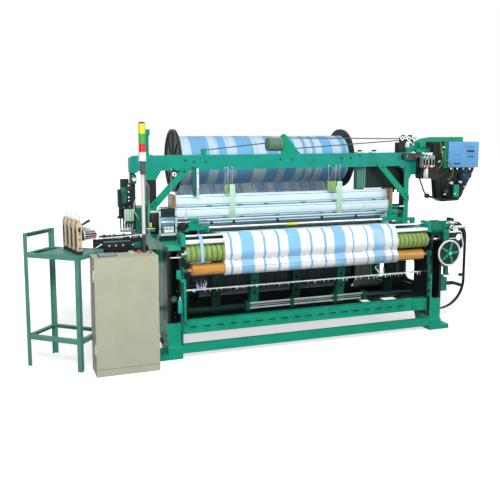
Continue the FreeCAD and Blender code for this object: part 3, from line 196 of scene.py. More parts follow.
def ribbedRubber(name, base, shade, groove, spacing):
    # Ribbed rubber sleeve: matt, with a dark line of dust in each groove
    material, add, place, clouds, fine = newMaterial(name, (45, 4), (2.5, 1))
    ribs = add("TexWave", {"Vector": place, "Scale": threadScale(spacing), "Distortion": 0.4,
                           "Detail": 1}, bands_direction="X")
    tone = layered(add, linear(base), [(clouds, shade, 0.35, 0.7),
                                       (ribs.outputs["Fac"], groove, 0.8, 1.0)])
    look = {"Base Color": tone, "Roughness": 0.75, "Specular IOR Level": 0.3}
    return closeMaterial(material, add, look, fine, 0.3)


def stripedCloth(name):
    # Plain-weave cotton: white ground with blue warp stripes; the real 0.5 mm threads are
    # drawn 2.4 mm apart so that they show
    material, add, place, clouds, dashes = newMaterial(name, (210, 4), (55, 2))
    stripes = [(x - 8, x + 8, "#79B9EA") for x in clothLines]
    stripes += [(*band, "#8FCBF4") for band in clothBands]
    tone = stripeRamp(add, place, "#F6FAFC", stripes, clothPath["half"])
    weave, picks = (add("TexWave", {"Vector": place, "Scale": threadScale(2.4), "Detail": 1,
                                    "Distortion": wander}, bands_direction=axis)
                    for axis, wander in (("X", 0.6), ("Z", 0.8)))
    crease = add("Math", {0: boxMask(add, place, dict(Y=(-20, 60), Z=(788, 797))),
                          1: add("MapRange", {0: dashes, 1: 0.44, 2: 0.56})},
                 operation="MULTIPLY")
    tone = add("Mix", {0: 0.10, 6: tone, 7: weave}, data_type="RGBA", blend_type="MULTIPLY")
    tone = layered(add, tone, [(clouds, "#E9F3FA", 0.55, 0.95), (crease, "#D9B9BE")])
    height = add("Math", {0: weave.outputs["Fac"], 1: picks.outputs["Fac"]},
                 operation="MULTIPLY")
    look = {"Base Color": tone, "Roughness": 0.85, "Sheen Weight": 0.15}
    return closeMaterial(material, add, look, height, 0.5)


def woundYarn(name, bands, base, stripe, spacing, shade):
    # Warp yarn side by side: 0.3 mm threads drawn wider, in sections with darker gaps
    material, add, place = newMaterial(name)
    tone = stripeRamp(add, place, base, [(*band, stripe) for band in bands], yarnHalf)
    threads = add("TexWave", {"Vector": place, "Scale": threadScale(spacing),
                              "Distortion": 0.3, "Detail": 2}, bands_direction="X")
    flat = add("Mapping", {"Vector": place, "Scale": (1, 0.02, 0.02)})
    sections = add("TexNoise", {"Vector": flat, "Scale": 1000 / 22, "Detail": 3})
    tone = layered(add, tone, [(sections, shade, 0.56, 0.72)])
    tone = add("Mix", {0: 0.16, 6: tone, 7: threads}, data_type="RGBA", blend_type="MULTIPLY")
    look = {"Base Color": tone, "Roughness": 0.7, "Sheen Weight": 0.2}
    return closeMaterial(material, add, look, threads.outputs["Fac"], 0.6, 0.0008)


def varnishedWood(name, light, dark, run, tipX, tipColour):
    # Turned hardwood under amber varnish: long grain with a clear gloss coat. Its ends, from
    # tipX outwards, are in another colour
    material, add, place, blotch = newMaterial(name, (80, 4))
    along = add("Mapping", {"Vector": place, "Scale": run})
    grain = add("TexNoise", {"Vector": along, "Scale": 1000 / 14, "Detail": 8,
                             "Distortion": 0.8})
    tone = layered(add, linear(light), [
        (grain, dark, 0.35, 0.68), (blotch, "#7A4E1A", 0.58, 0.8),
        (boxMask(add, place, dict(absX=(tipX, 1300))), tipColour)])
    look = {"Base Color": tone, "Roughness": 0.42, "Coat Weight": 0.5, "Coat Roughness": 0.15}
    return closeMaterial(material, add, look, grain)


clothPath = dict(fell=(400, 985), rod=(100, 1003, 12), bar=(50, 960, 22), grip=(65, 859, 68),
                 roll=(44, 728, 60), half=830, thick=1.2, crease=-34)
# the colour of painted shade in the hollows and on the inner faces and shadow sides of parts
paintedShade = "#0E1A18"
greenCoat = ("#0C9A7B", "#0A8C70", "#0A4A3E")
deepCoat = ("#0B6B57", "#0A5F4E", "#06332B")
greenEnamel = enamel("green machine enamel", *greenCoat)
deepGreenEnamel = enamel("deep green machine enamel", *deepCoat, 0.42)
# this black-green is the machine's dark paint and also painted shade inside the machine
blackGreenEnamelAndShade = enamel("black-green machine enamel, also painted shade", "#0B1F1B", "#0E2A25", "#050C0A", 0.45)
# the side frames carry painted shade on their inner faces, in their front hollows and on a strip
# of the left frame's outer side
frameEnamel = enamel("green machine enamel, painted shade inside", *greenCoat, areas={paintedShade: [
    dict(absX=(1150, 1203.5), Y=(8, 1600), Z=(130, 925)),
    dict(absX=(1204, 1308), Y=(22, 700), Z=(190, 905)),
    dict(X=(-1321.5, -1199), Y=(-30, 20.6), Z=(303, 925)),
    dict(X=(-1325, -1310), Y=(18, 166), Z=(300, 935)),
    dict(X=(1262, 1322), Y=(18, 24), Z=(300, 905)),
    dict(X=(1204, 1345), Y=(-60, 60), Z=(535, 925))]})
# the tie bars carry painted shade along their middle, deep under the machine
tieEnamel = enamel("green enamel on the tie bars", *greenCoat,
                   areas={paintedShade: [dict(Y=(800, 1200))]})
# the temple tube is dark green below as painted shade, and bright bare steel above, which is also
# a painted highlight on its top
templeEnamel = enamel("green enamel on the temple", *greenCoat, 0.3,
                      areas={"#123A33": [dict(absX=(0, 860.4), Z=(990, 1011.5))]},
                      bare=dict(absX=(0, 860.4), Z=(1011.5, 1040)))
gearEnamel = enamel("green enamel on the gearbox", "#0B7B62", "#0A6C56", "#083B31", 0.4,
                    areas={"#F1F3F2": [dict(X=(1384, 1560), Y=(50, 70), Z=(846, 860)),
                                       dict(X=(1548, 1600), Y=(50, 70), Z=(770, 912))]})
# the linkage's ends towards the frames carry painted shade; the clamps are its dark green paint
linkageMetal = enamel("oiled steel linkage", "#B9C4C6", "#93A3A6", "#20302E", 0.35, areas={
    "#26302F": [dict(X=(-1201, -541), Z=(270, 360))],
    "#39514A": [dict(X=(675, 1201), Z=(270, 360))],
    "#11513F": [dict(X=(x - 1, x + 35), Z=(275, 355)) for x in (-540, -110, 330, 640)]})
dobbyEnamel = enamel("black-green dobby enamel", "#08120F", "#0C1B17", "#040908", 0.42, areas={
    "#F2F4F2": [dict(X=(1434, 1476), Y=(486, 530), Z=(1390, 1490))],
    "#1F3F5E": [dict(X=(1846, 1950), Y=(438, 519), Z=(1378, 1454))],
    "#A9B6B4": [dict(X=(1390, 1545), Y=(400, 545), Z=(1500, 1625))]})
# the sley is darkened as painted shade inside the machine, and two swords are lighter as painted
# light where more light falls on them
sleyEnamel = enamel("green enamel on the sley in painted shade", "#123A31", "#0F2F28", "#071A16", 0.45,
                    areas={"#1B7A64": [dict(X=(-421, -339), Z=(200, 905)),
                                       dict(X=(469, 551), Z=(200, 905))]})
riggingPaint = enamel("green enamel and steel cord", *greenCoat, 0.4, areas={
    "#5E7F66": [dict(X=(-212, -56), Z=(1675, 1806))],
    "#4C5A5C": [dict(X=(-836, -211), Z=(1700, 1760)), dict(X=(140, 1232), Z=(1690, 1806))]})
archEnamel = enamel("green enamel on the arch", "#149A88", "#0F8E7A", "#0A4A3E")
# the posts carry painted shade on their shadow sides
postEnamel = enamel("green enamel on the posts", *greenCoat, areas={paintedShade: [
    dict(X=(-1322, -1255), Y=(600, 700), Z=(985, 1440)),
    dict(X=(-1356, -1322), Y=(600, 700), Z=(1262, 1440)),
    dict(X=(1200, 1268.5), Y=(605, 720), Z=(1060, 1500))]})
tealPaint = enamel("teal enamelled strut", "#1F9E96", "#178A83", "#0E5A55", 0.35)
blackCasting = enamel("black painted cast iron", "#141917", "#1D2422", "#050606", 0.5, 5)
blueEnamel = enamel("blue gloss enamel", "#6CAEE4", "#64A5DC", "#5B98CC", 0.3, 2.5, 0.2)
cabinetEnamel = enamel("grey textured enamel", "#B5B7A1", "#AEB09A", "#9C9E8A", 0.5, 2.0, 0.2)
standEnamel = enamel("pale green enamel", "#5E9A8C", "#528D80", "#33635A", 0.45)
cylinderBlue = enamel("dark blue enamel", "#1E3A55", "#24486A", "#101E2E", 0.35)
groundSteel = brushedMetal("ground steel", "#E2E8EA", "#A9B4B8", 0.28)
wireSteel = brushedMetal("drawn steel wire", "#A9BCC6", "#6F8793", 0.35, (30, 30, 1))
slatAluminium = brushedMetal("anodised aluminium", "#DEF4FE", "#CCE9F8", 0.42, metallic=0.1)
zincPlate = brushedMetal("zinc plated steel", "#D5DADB", "#9FA8AB", 0.35, (8, 8, 8))
# this blued steel colour is also the painted shade in the reed cap's channel
steelBlueAndShade = brushedMetal("blued steel strip, also painted shade", "#6F97AB", "#3E6274", 0.4, metallic=0.3)
rubberSleeve = ribbedRubber("ribbed green rubber", "#93AE60", "#84A058", "#4B6230", 46)
amberWood = varnishedWood("amber varnished beech", "#CF9635", "#A9701F", (0.06, 1, 1), 1140,
                          "#39424A")
guideWood = varnishedWood("brown varnished beech", "#9A7743", "#5E4220", (1, 1, 0.06), 1126,
                          "#10312B")
greyAbs = mouldedPlastic("grey ABS", "#2F3B3D", "#283335", 0.45)
collarGrey = mouldedPlastic("dark grey ABS", "#4B4F58", "#3F434C", 0.4)
paleGreyAbs = mouldedPlastic("pale grey ABS", "#8C979B", "#7C878B", 0.45)
beigeAbs = mouldedPlastic("beige ABS", "#CDBB9E", "#BFAD90", 0.45)
whiteAbs = mouldedPlastic("white ABS", "#F2F4F2", "#E2E6E4")
tubePaint = mouldedPlastic("pinkish white enamelled tube", "#E9DADB", "#DCCBCD")
blackRubber = mouldedPlastic("black rubber", "#121514", "#1A1E1D", 0.6)
redAbs = mouldedPlastic("red ABS", "#DF3024", "#CF281D", 0.3)
greenAbs = mouldedPlastic("green ABS", "#35B04A", "#2CA041", 0.3)
yellowAbs = mouldedPlastic("yellow ABS", "#F0E03C", "#E4D232")
pinkAbs = mouldedPlastic("pink ABS", "#E5A9B4", "#D998A4")
# this mint colour is also the painted highlight along the top of the gripper wheel's cover
mintAbsAndHighlight = mouldedPlastic("mint ABS, also a painted highlight", "#BFE0C8", "#AED3B9", 0.4)
paleBlueEdge = mouldedPlastic("pale blue enamelled edge", "#BFD8E4", "#A5C3D2", 0.4)
mossAbs = mouldedPlastic("moss green ABS", "#7E9E50", "#6E8D44", 0.5)
displayRed = mouldedPlastic("dark red display window", "#5A2A22", "#4A211B", 0.2)
printBlue = mouldedPlastic("grey-blue print", "#5E8FB8", "#5E8FB8", 0.4)
printPink = mouldedPlastic("rose print", "#8E8FBB", "#8E8FBB", 0.4)
printNavy = mouldedPlastic("navy print", "#1D3F63", "#1D3F63", 0.4)
blueYarn = mouldedPlastic("pale blue cotton yarn", "#A9D3F2", "#8FC3EA", 0.8, 3.0)
pinkYarn = mouldedPlastic("pink cotton yarn", "#E7B7DA", "#D9A3CB", 0.8, 3.0)
threadWhite = mouldedPlastic("spun cotton yarn", "#EEF4F8", "#D5E3EE", 0.8, 3.0)
clothMaterial = stripedCloth("striped plain-weave cotton")
upperYarn = woundYarn("upper warp yarn", beamBands, "#CBE5F6", "#73BBEE", 7.0, "#8FA9BC")
# the hanging sheet's yarn is the upper yarn painted lighter, as painted light on the sheet
hangingYarn = woundYarn("stretched warp yarn", beamBands, "#D6F2FF", "#A2D6FC", 5.0, "#7CA6C2")
# the lower warp is the cloth's striped yarn painted dark, as painted shade inside the machine
lowerYarn = woundYarn("lower warp yarn", clothBands, "#46545E", "#2E4152", 7.0, "#1E2930")
print("materials made")


# ---- mesh helpers ----

def paint(verts, material):
    for face in {face for vert in verts for face in vert.link_faces}:
        face.material_index = material


def addBox(mesh, x0, x1, y0, y1, z0, z1, bevel=0.0, material=0):
    low, high = at(x0, y0, z0), at(x1, y1, z1)
    place = Matrix.Translation((low + high) / 2) @ Matrix.Diagonal((*(high - low), 1))
    made = bmesh.ops.create_cube(mesh, size=1, matrix=place)["verts"]
    paint(made, material)
    if bevel:
        edges = list({edge for vert in made for edge in vert.link_edges})
        cut = bmesh.ops.bevel(mesh, geom=edges, offset=bevel / 1000, segments=2,
                              affect="EDGES", profile=0.5, material=-1)
        for face in cut["faces"]:
            face.material_index = material
    return made


def addRod(mesh, start, end, radius, endRadius=None, steps=20, material=0):
    turn = (end - start).to_track_quat("Z", "Y").to_matrix().to_4x4()
    made = bmesh.ops.create_cone(
        mesh, cap_ends=True, segments=steps, radius1=radius / 1000,
        radius2=(radius if endRadius is None else endRadius) / 1000,
        depth=(end - start).length, matrix=Matrix.Translation((start + end) / 2) @ turn)
    paint(made["verts"], material)


def addBolt(mesh, spot, way, radius, tall, material=0):
    # hexagon head on a washer, standing on the spot
    rise = Vector(way) / 1000
    addRod(mesh, spot, spot + rise * 2, radius * 1.45, steps=16, material=material)
    addRod(mesh, spot + rise * 2, spot + rise * tall, radius, radius * 0.94, 6, material)


def addParts(mesh, boxes=(), rods=(), discs=(), bolts=()):
    # a disc lies along Y: its place in X and Z, its span in Y, its radius, its number of
    # sides and its material; a bolt faces the front: its place, radius, height and material
    for row in boxes:
        addBox(mesh, *row)
    for start, end, *rest in rods:
        addRod(mesh, at(*start), at(*end), *rest)
    for x, z, front, back, radius, steps, material in discs:
        addRod(mesh, at(x, front, z), at(x, back, z), radius, radius, steps, material)
    for x, y, z, *rest in bolts:
        addBolt(mesh, at(x, y, z), (0, -1, 0), *rest)


def ringSpots(count, radius):
    return [(radius * math.cos(math.tau * k / count), radius * math.sin(math.tau * k / count))
            for k in range(count)]


def spinProfile(mesh, points, axisY, axisZ, steps):
    # a profile of (x, radius), spun round a line along X
    spots = [mesh.verts.new(at(x, axisY, axisZ + radius)) for x, radius in points]
    edges = [mesh.edges.new(pair) for pair in zip(spots, spots[1:])]
    bmesh.ops.spin(mesh, geom=spots + edges, cent=at(0, axisY, axisZ), axis=(1, 0, 0),
                   angle=math.tau, steps=steps, use_merge=True)


def addObject(name, data):
    thing = bpy.data.objects.new(name, data)
    bpy.context.scene.collection.objects.link(thing)
    return thing


def addPiece(name, mesh, materials, body, replaces=(), smooth=40):
    data = bpy.data.meshes.new(name)
    mesh.to_mesh(data)
    mesh.free()
    for material in materials:
        data.materials.append(material)
    data.shade_smooth()
    data.set_sharp_from_angle(angle=math.radians(smooth))
    piece = addObject(name, data)
    if body:
        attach(piece, body)
    if replaces:
        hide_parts(*replaces)
    return piece


def addStill(name, materials, slot, **parts):
    mesh = bmesh.new()
    addParts(mesh, **parts)
    addPiece(name, mesh, materials, "frame")


def addTubes(name, lines, radius, material, bent=True):
    # tubes round lines of points, bent smoothly or straight from point to point
    curve = bpy.data.curves.new(name, "CURVE")
    curve.dimensions = "3D"
    curve.bevel_depth = radius / 1000
    curve.bevel_resolution = 2 if bent else 0
    curve.use_fill_caps = bent
    for spots in lines:
        line = curve.splines.new("NURBS" if bent else "POLY")
        line.points.add(len(spots) - 1)
        for point, spot in zip(line.points, spots):
            point.co = (*at(*spot), 1)
        if bent:
            line.order_u = 3
            line.use_endpoint_u = True
            line.resolution_u = 6
    rough = bpy.data.objects.new(name + "Curve", curve)
    data = bpy.data.meshes.new_from_object(rough)
    bpy.data.objects.remove(rough)
    data.materials.clear()
    data.materials.append(material)
    if bent:
        data.shade_smooth()
    piece = addObject(name, data)
    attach(piece, "frame")


def stopAngle(first, second):
    dy, dz = second[0] - first[0], second[1] - first[1]
    lean = math.asin((second[2] - first[2]) / math.hypot(dy, dz))
    return math.atan2(dz, dy) - lean


def pathOver(stops, step):
    # points (y, z) of a sheet that runs from stop to stop and round each (y, z, radius)
    points = []
    for i, (y, z, radius) in enumerate(stops):
        angles = [stopAngle(stops[a], stops[a + 1]) + math.pi / 2
                  for a in (i - 1, i) if 0 <= a < len(stops) - 1]
        turn = angles[-1] - angles[0]
        if len(angles) == 2:
            turn = (turn + math.pi) % math.tau - math.pi
        count = max(1, round(abs(turn) / math.radians(step)))
        for k in range(count + 1) if abs(turn) > 1e-6 else [0]:
            angle = angles[0] + turn * k / count
            points.append((y - radius * math.cos(angle), z - radius * math.sin(angle)))
    return points


def refined(points, longest):
    # the same line with long runs divided
    out = [points[0]]
    for a, b in zip(points, points[1:]):
        parts = max(1, math.ceil(math.dist(a, b) / longest))
        out += [(a[0] + (b[0] - a[0]) * k / parts, a[1] + (b[1] - a[1]) * k / parts)
                for k in range(1, parts + 1)]
    return out


def sweepAcross(mesh, points, x0, x1, columns=1, material=0):
    # draws the line at x0 and extrudes it to x1 in columns
    row = [mesh.verts.new(at(x0, y, z)) for y, z in points]
    edges = [mesh.edges.new(pair) for pair in zip(row, row[1:])]
    for k in range(columns):
        made = bmesh.ops.extrude_edge_only(mesh, edges=edges)["geom"]
        verts = {item for item in made if isinstance(item, bmesh.types.BMVert)}
        edges = [item for item in made if isinstance(item, bmesh.types.BMEdge)
                 and verts.issuperset(item.verts)]
        bmesh.ops.translate(mesh, verts=list(verts), vec=((x1 - x0) / columns / 1000, 0, 0))
        for item in made:
            if isinstance(item, bmesh.types.BMFace):
                item.material_index = material


def thicken(piece, thickness):
    solid = piece.modifiers.new("thickness", "SOLIDIFY")
    solid.thickness = thickness / 1000
    solid.offset = 0


# ---- cloth, rolls and warp ----

def clothStops():
    lift = 0.5 + clothPath["thick"] / 2
    rollers = [(y, z, r + lift) for y, z, r in map(clothPath.get, ("rod", "bar", "grip"))]
    gripY, gripZ, reach = rollers[-1]
    rollY, rollZ, outer = clothPath["roll"]
    down = Vector((rollY - gripY, rollZ - gripZ)).normalized()
    along = Vector((-down.y, down.x))
    crease = Vector((gripY, gripZ)) + down * reach + along * clothPath["crease"]
    return [(*clothPath["fell"], 0), *rollers, (*crease, 0), (rollY - outer - 1.4, rollZ + 14, 0)]


def makeCloth():
    points = refined(pathOver(clothStops(), 5), 16)
    mesh = bmesh.new()
    sweepAcross(mesh, points, -clothPath["half"], clothPath["half"], 110)
    for vert in mesh.verts:
        x = vert.co.x * 1000
        if vert.co.y > at(0, 130, 0).y:
            vert.co.z += 0.0003 * math.sin(x * 0.031 + 2.1 * math.sin(x * 0.007))
    cloth = addPiece("clothSheet", mesh, [clothMaterial], None, ["cloth_sheet"], 70)
    thicken(cloth, clothPath["thick"])
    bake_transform(cloth)


rollSizes = dict(core=48.6, thick=1.3, turns=7, steps=56)


def makeClothRoll():
    # the cloth's turns on the wooden roller, seen as a spiral at both ends
    y, z, outer = clothPath["roll"]
    core, steps = rollSizes["core"], rollSizes["steps"]
    count = rollSizes["turns"] * steps
    points = []
    for k in range(count + 1):
        radius = core + (outer - 0.8 - core) * k / count
        angle = math.tau * k / steps + 0.6
        points.append((y + radius * math.cos(angle), z + radius * math.sin(angle)))
    mesh = bmesh.new()
    sweepAcross(mesh, points, -clothPath["half"], clothPath["half"], 2)
    roll = addPiece("clothRoll", mesh, [clothMaterial], "cloth_roller",
                    ["cloth_roll"], 70)
    thicken(roll, rollSizes["thick"])


ridges = dict(pitch=4.5, depth=0.9)


def woundProfile(half, radius, core):
    # the winding's outline: low ridges of yarn between the flanges
    low = radius - ridges["depth"]
    points = [(-half, core), (-half, low)]
    x = -half + 2
    while x < half - 2:
        points.append((x, (radius if len(points) % 2 else low) - random.random() * 0.3))
        x += ridges["pitch"]
    return points + [(half, low), (half, core)]


upperBeam = dict(y=1339, z=1574, half=908, radius=240, core=75.5)
lowerBeam = dict(y=1250, z=430, half=909, radius=229.5, core=70, flange=[
    (909, 0), (909, 286), (913, 290), (928, 290), (932, 286), (932, 276), (923, 268),
    (919, 262), (919, 66), (924, 58), (934, 52), (936, 25), (1225, 25), (1225, 0)])


def makeWindings():
    random.seed(5)
    for name, beam, yarn, body, slot, node in (
            ("upperYarnWinding", upperBeam, upperYarn, "upper_beam", "upper_yarn",
             "upper_winding"),
            ("lowerYarnWinding", lowerBeam, lowerYarn, "lower_beam", "lower_yarn",
             "lower_beam")):
        mesh = bmesh.new()
        points = woundProfile(beam["half"], beam["radius"], beam["core"])
        spinProfile(mesh, points, beam["y"], beam["z"], 96)
        bmesh.ops.recalc_face_normals(mesh, faces=mesh.faces)
        addPiece(name, mesh, [yarn], body, [node], 60)
    mesh = bmesh.new()
    y, z = lowerBeam["y"], lowerBeam["z"]
    for side in (-1, 1):
        spinProfile(mesh, [(side * x, r) for x, r in lowerBeam["flange"]], y, z, 72)
        for k in range(8):
            rib = addBox(mesh, side * 925, side * 931, y - 5, y + 5, z + 60, z + 260, 1)
            near = {v for v in rib if v.is_valid}
            near |= {v for e in {e for v in near for e in v.link_edges} for v in e.verts}
            bmesh.ops.rotate(mesh, cent=at(0, y, z), verts=list(near),
                             matrix=Matrix.Rotation(math.tau * k / 8, 3, "X"))
    bmesh.ops.recalc_face_normals(mesh, faces=mesh.faces)
    # the lower beam's flanges are black-green as painted shade inside the machine
    addPiece("lowerBeamFlanges", mesh, [blackGreenEnamelAndShade], "lower_beam")


def makeWarpSheets():
    # sections of yarn from the beams over their rollers, with thin gaps between sections
    random.seed(8)
    upper = pathOver([(1580.5, 1634, 0), (1339, 1574, -241.5), (1270, 1090, -41.5),
                      (1232, 1036, 0)], 8)
    lower = pathOver([(1232, 1003, 0), (1500, 985, -56.5), (1250, 430, -231.5),
                      (1444.5, 303.9, 0)], 8)
    mesh = bmesh.new()
    for points, half, index in ((upper, 884, 0), (lower, 854, 1)):
        x = -half
        while x < half - 4:
            wide = min(random.choice((13, 17, 21, 26)), half - x)
            sweepAcross(mesh, points, x, x + wide - 1.6, 1, index)
            x += wide
    piece = addPiece("warpSheets", mesh, [hangingYarn, lowerYarn], "frame",
                     ["warp_sheets"], 60)
    thicken(piece, 1.0)


# every yarn runs through the reed, its frame's heald eye and a drop wire to the back
shed = dict(places=range(-848, 849, 8), fell=(401, 985), eyes=(932, 1038),
            frames=(610, 650, 690, 730), drop=(1074, 1154), join=(1232, 1003))

makeCloth()
makeClothRoll()
makeWindings()
makeWarpSheets()
addTubes("shedYarns", [
    [(x, *shed["fell"]), (x, shed["frames"][i % 4], shed["eyes"][i % 2]),
     (x, shed["drop"][i % 2], 1004), (x, *shed["join"])]
    for i, x in enumerate(shed["places"])], 0.9, threadWhite, False)
print("cloth and warp made")


# ---- reed and heald frames ----

reed = dict(half=930, capHalf=850, front=465, back=475, low=950, dent=4)


def makeReed():
    mesh = bmesh.new()
    half, inner, front, back = reed["half"], reed["capHalf"], reed["front"], reed["back"]
    addBox(mesh, -half, half, front, back, reed["low"], 958, 1, 0)
    # the cap is flush with the reed at its ends, which pass the temple's end blocks
    # the cap's middle, set back between its two bright rails, is coloured dark as painted shade in
    # its channel
    for x0, x1, face in ((-half, -inner, front), (-inner, inner, 456), (inner, half, front)):
        addParts(mesh, [(x0, x1, max(459, face), 488, 1062, 1087, 2, 2),
                        (x0, x1, face, 489, 1081, 1090, 2, 0),
                        (x0, x1, face, 470, 1057, 1065, 2, 0)])
    for x in (-806, -597, -172, 278, 640):
        addParts(mesh, [(x - 11, x + 11, 449, 458, 1045, 1072, 2, 3),
                        (x - 2, x + 16, 447, 452, 1046, 1056, 2, 3)])
    for x in range(2 - half, half, reed["dent"]):
        addBox(mesh, x - 0.5, x + 0.5, front + 1, back - 1, 957, 1056, 0, 1)
    for x in (-half, half - 8):
        addBox(mesh, x, x + 8, front - 1, back + 1, 951, 1060, 1, 0)
    addPiece("reedDents", mesh, [slatAluminium, wireSteel, steelBlueAndShade, blackRubber], "sley",
             ["reed"])


healds = dict(half=1097, slat=98, drop=512, lift=106, top=1182, thick=14, hooks=(
    (-630, -464, -110, 344, 485, 926), (-768, -471, -211, 175, 508, 944)))


def makeHealdFrame(number):
    high = number % 2 == 0
    top = healds["top"] + (healds["lift"] if high else 0)
    low = top - healds["drop"]
    half, eye, y = healds["half"], shed["eyes"][high], shed["frames"][number - 1]
    front, back = y - healds["thick"] / 2, y + healds["thick"] / 2
    mesh = bmesh.new()
    for z0, z1 in ((top - healds["slat"], top), (low, low + 88)):
        addBox(mesh, -half, half, front, back, z0, z1, 2.5, 0)
        for z in (z0 + 16, z1 - 16):
            addBox(mesh, 4 - half, half - 4, front - 0.3, front + 1, z - 2, z + 2, 0, 2)
    for side in (-1, 1):
        x0, x1 = sorted((side * half, side * (half - 20)))
        addBox(mesh, x0, x1, front + 0.5, back - 0.5, low, top, 2, 0)
        addParts(mesh, bolts=[(side * (half - 10), front, z, 4, 1.5, 1)
                              for z in (low + 30, low + 60, top - 30, top - 70)])
    for z in (low + 92, top - 104):
        addBox(mesh, 20 - half, half - 20, y - 1, y + 1, z - 7, z + 7, 0, 1)
    for x in shed["places"][number - 1::4]:
        addParts(mesh, [(x - 0.6, x + 0.6, y - 1.2, y + 1.2, low + 88, eye - 6, 0, 1),
                        (x - 0.6, x + 0.6, y - 1.2, y + 1.2, eye + 6, top - 100, 0, 1),
                        (x - 1.4, x - 0.7, y - 2, y + 2, eye - 7, eye + 7, 0, 1),
                        (x + 0.7, x + 1.4, y - 2, y + 2, eye - 7, eye + 7, 0, 1)])
    for x in (-1012, 800) if number == 1 else ():
        addParts(mesh, [(x, x + 30, front - 3, front + 0.5, top - 102, top + 3, 1, 4),
                        (x + 12, x + 18, front - 4, front - 2, top - 98, top - 2, 0, 1)])
    for x in healds["hooks"][high] if number < 3 else ():
        addParts(mesh, [(x - 24, x + 24, front - 1.2, back, top - 104, top - 90, 2, 3),
                        (x - 12, x + 12, front - 1.2, back, top - 116, top - 103, 2, 3),
                        (x - 2, x + 2, front - 0.6, front + 1, top - 142, top - 112, 0, 1)])
    addPiece(f"healdFrame{number}", mesh,
             [slatAluminium, wireSteel, greyAbs, greenEnamel, whiteAbs],
             f"heald_{number}", [f"heald_frame_{number}"])


makeReed()
for number in range(1, 5):
    makeHealdFrame(number)
print("reed and healds made")


# ---- hardware on the frame ----

def makeFrameBolts():
    mesh = bmesh.new()
    addParts(mesh, bolts=[(x, 610, z, 8, 6) for x, z in (
        (-995, 1604), (-915, 1592), (-805, 1591), (-75, 1602), (40, 1597), (560, 1604),
        (660, 1604), (760, 1630))])
    addParts(mesh, bolts=[(x, 54, z, 7, 7) for x in (1075, 1165) for z in (216, 270)])
    for side in (-1, 1):
        addParts(mesh, bolts=[(side * x, 598, z, 8, 7)
                              for x, z in ((1305, 1205), (1275, 1235), (1010, 1508))])
        addParts(mesh, bolts=[(side * x, 345, 1085, 6, 6) for x in (975, 1000)])
        for y, z in ((70, 60), (70, 92), (1510, 60), (1510, 92)):
            addBolt(mesh, at(side * 1322, y, z), (side, 0, 0), 9, 8)
    addPiece("frameBolts", mesh, [deepGreenEnamel], "frame")


# each ring is its span in Z, its radius and its material; those of the lamps are ribbed
tower = dict(x=-1515, y=-30, lamp=22, dome=26.5, rings=[
    (916, 930, 20, 2), (930, 1060, 15, 2), (1060, 1530, 13.5, 0), (1530, 1633, 20, 6),
    (1633, 1702, 31, 1), (1702, 1771, 27, 3), (1771, 1844, 27, 4), (1844, 1921, 27, 5)])


def makeSignalTower():
    mesh = bmesh.new()
    x, y = tower["x"], tower["y"]
    for low, high, radius, index in tower["rings"]:
        addRod(mesh, at(x, y, low), at(x, y, high), radius, steps=32, material=index)
        for k in range(1, 6) if radius > tower["lamp"] else ():
            z = low + (high - low) * k / 6
            addRod(mesh, at(x, y, z - 1), at(x, y, z + 1), radius - 0.4, steps=32,
                   material=index)
    dome = bmesh.ops.create_uvsphere(
        mesh, u_segments=32, v_segments=12, radius=tower["dome"] / 1000,
        matrix=Matrix.Translation(at(x, y, 1921)) @ Matrix.Diagonal((1, 1, 0.56, 1)))
    paint(dome["verts"], 2)
    addPiece("signalTowerLamps", mesh,
             [tubePaint, whiteAbs, greyAbs, redAbs, greenAbs, yellowAbs, collarGrey], "frame",
             ["signal_tower"])


def makeLint():
    # loose yarn ends that hang on the start bar
    random.seed(11)
    mesh = bmesh.new()
    x = -1110
    while x < 1130:
        x += random.choice((6, 9, 13, 22))
        if random.random() < 0.25:
            x += 30
        tall = random.uniform(6, 26) * (1.5 if x > 0 else 1)
        start = at(x, 93, 553)
        lean = Vector((random.uniform(-8, 8), random.uniform(-3, 2), -tall)) / 1000
        addRod(mesh, start, start + lean, random.uniform(3, 7), 1.5, 5,
               random.choice((0, 0, 0, 0, 1, 2)))
    for middle, high, count in ((-1015, 92, 26), (722, 66, 12)):
        for k in range(count):
            start = at(middle + random.uniform(-40, 40), 109 + random.uniform(0, 4), 548)
            lean = Vector((random.uniform(-30, 30), random.uniform(4, 14),
                           random.uniform(-12, high))) / 1000
            addRod(mesh, start, start + lean, random.uniform(1.5, 3.5), 1, 5,
                   random.choice((0, 0, 1, 2)))
    addParts(mesh, boxes=[(690, 730, 88, 112, 534, 566, 4, 3)],
             rods=[((705, 111, 556), (662, 119, 624), 5, 4, 10, 3),
                   ((662, 119, 624), (690, 119, 632), 4, 4, 10, 3)])
    addPiece("barLint", mesh, [threadWhite, blueYarn, pinkYarn, zincPlate], "start_bar",
             smooth=60)


wheel = dict(x=1352, y=-50, z=737, rim=115, grip=8.8, arms=5, lean=14, taper=0.62)


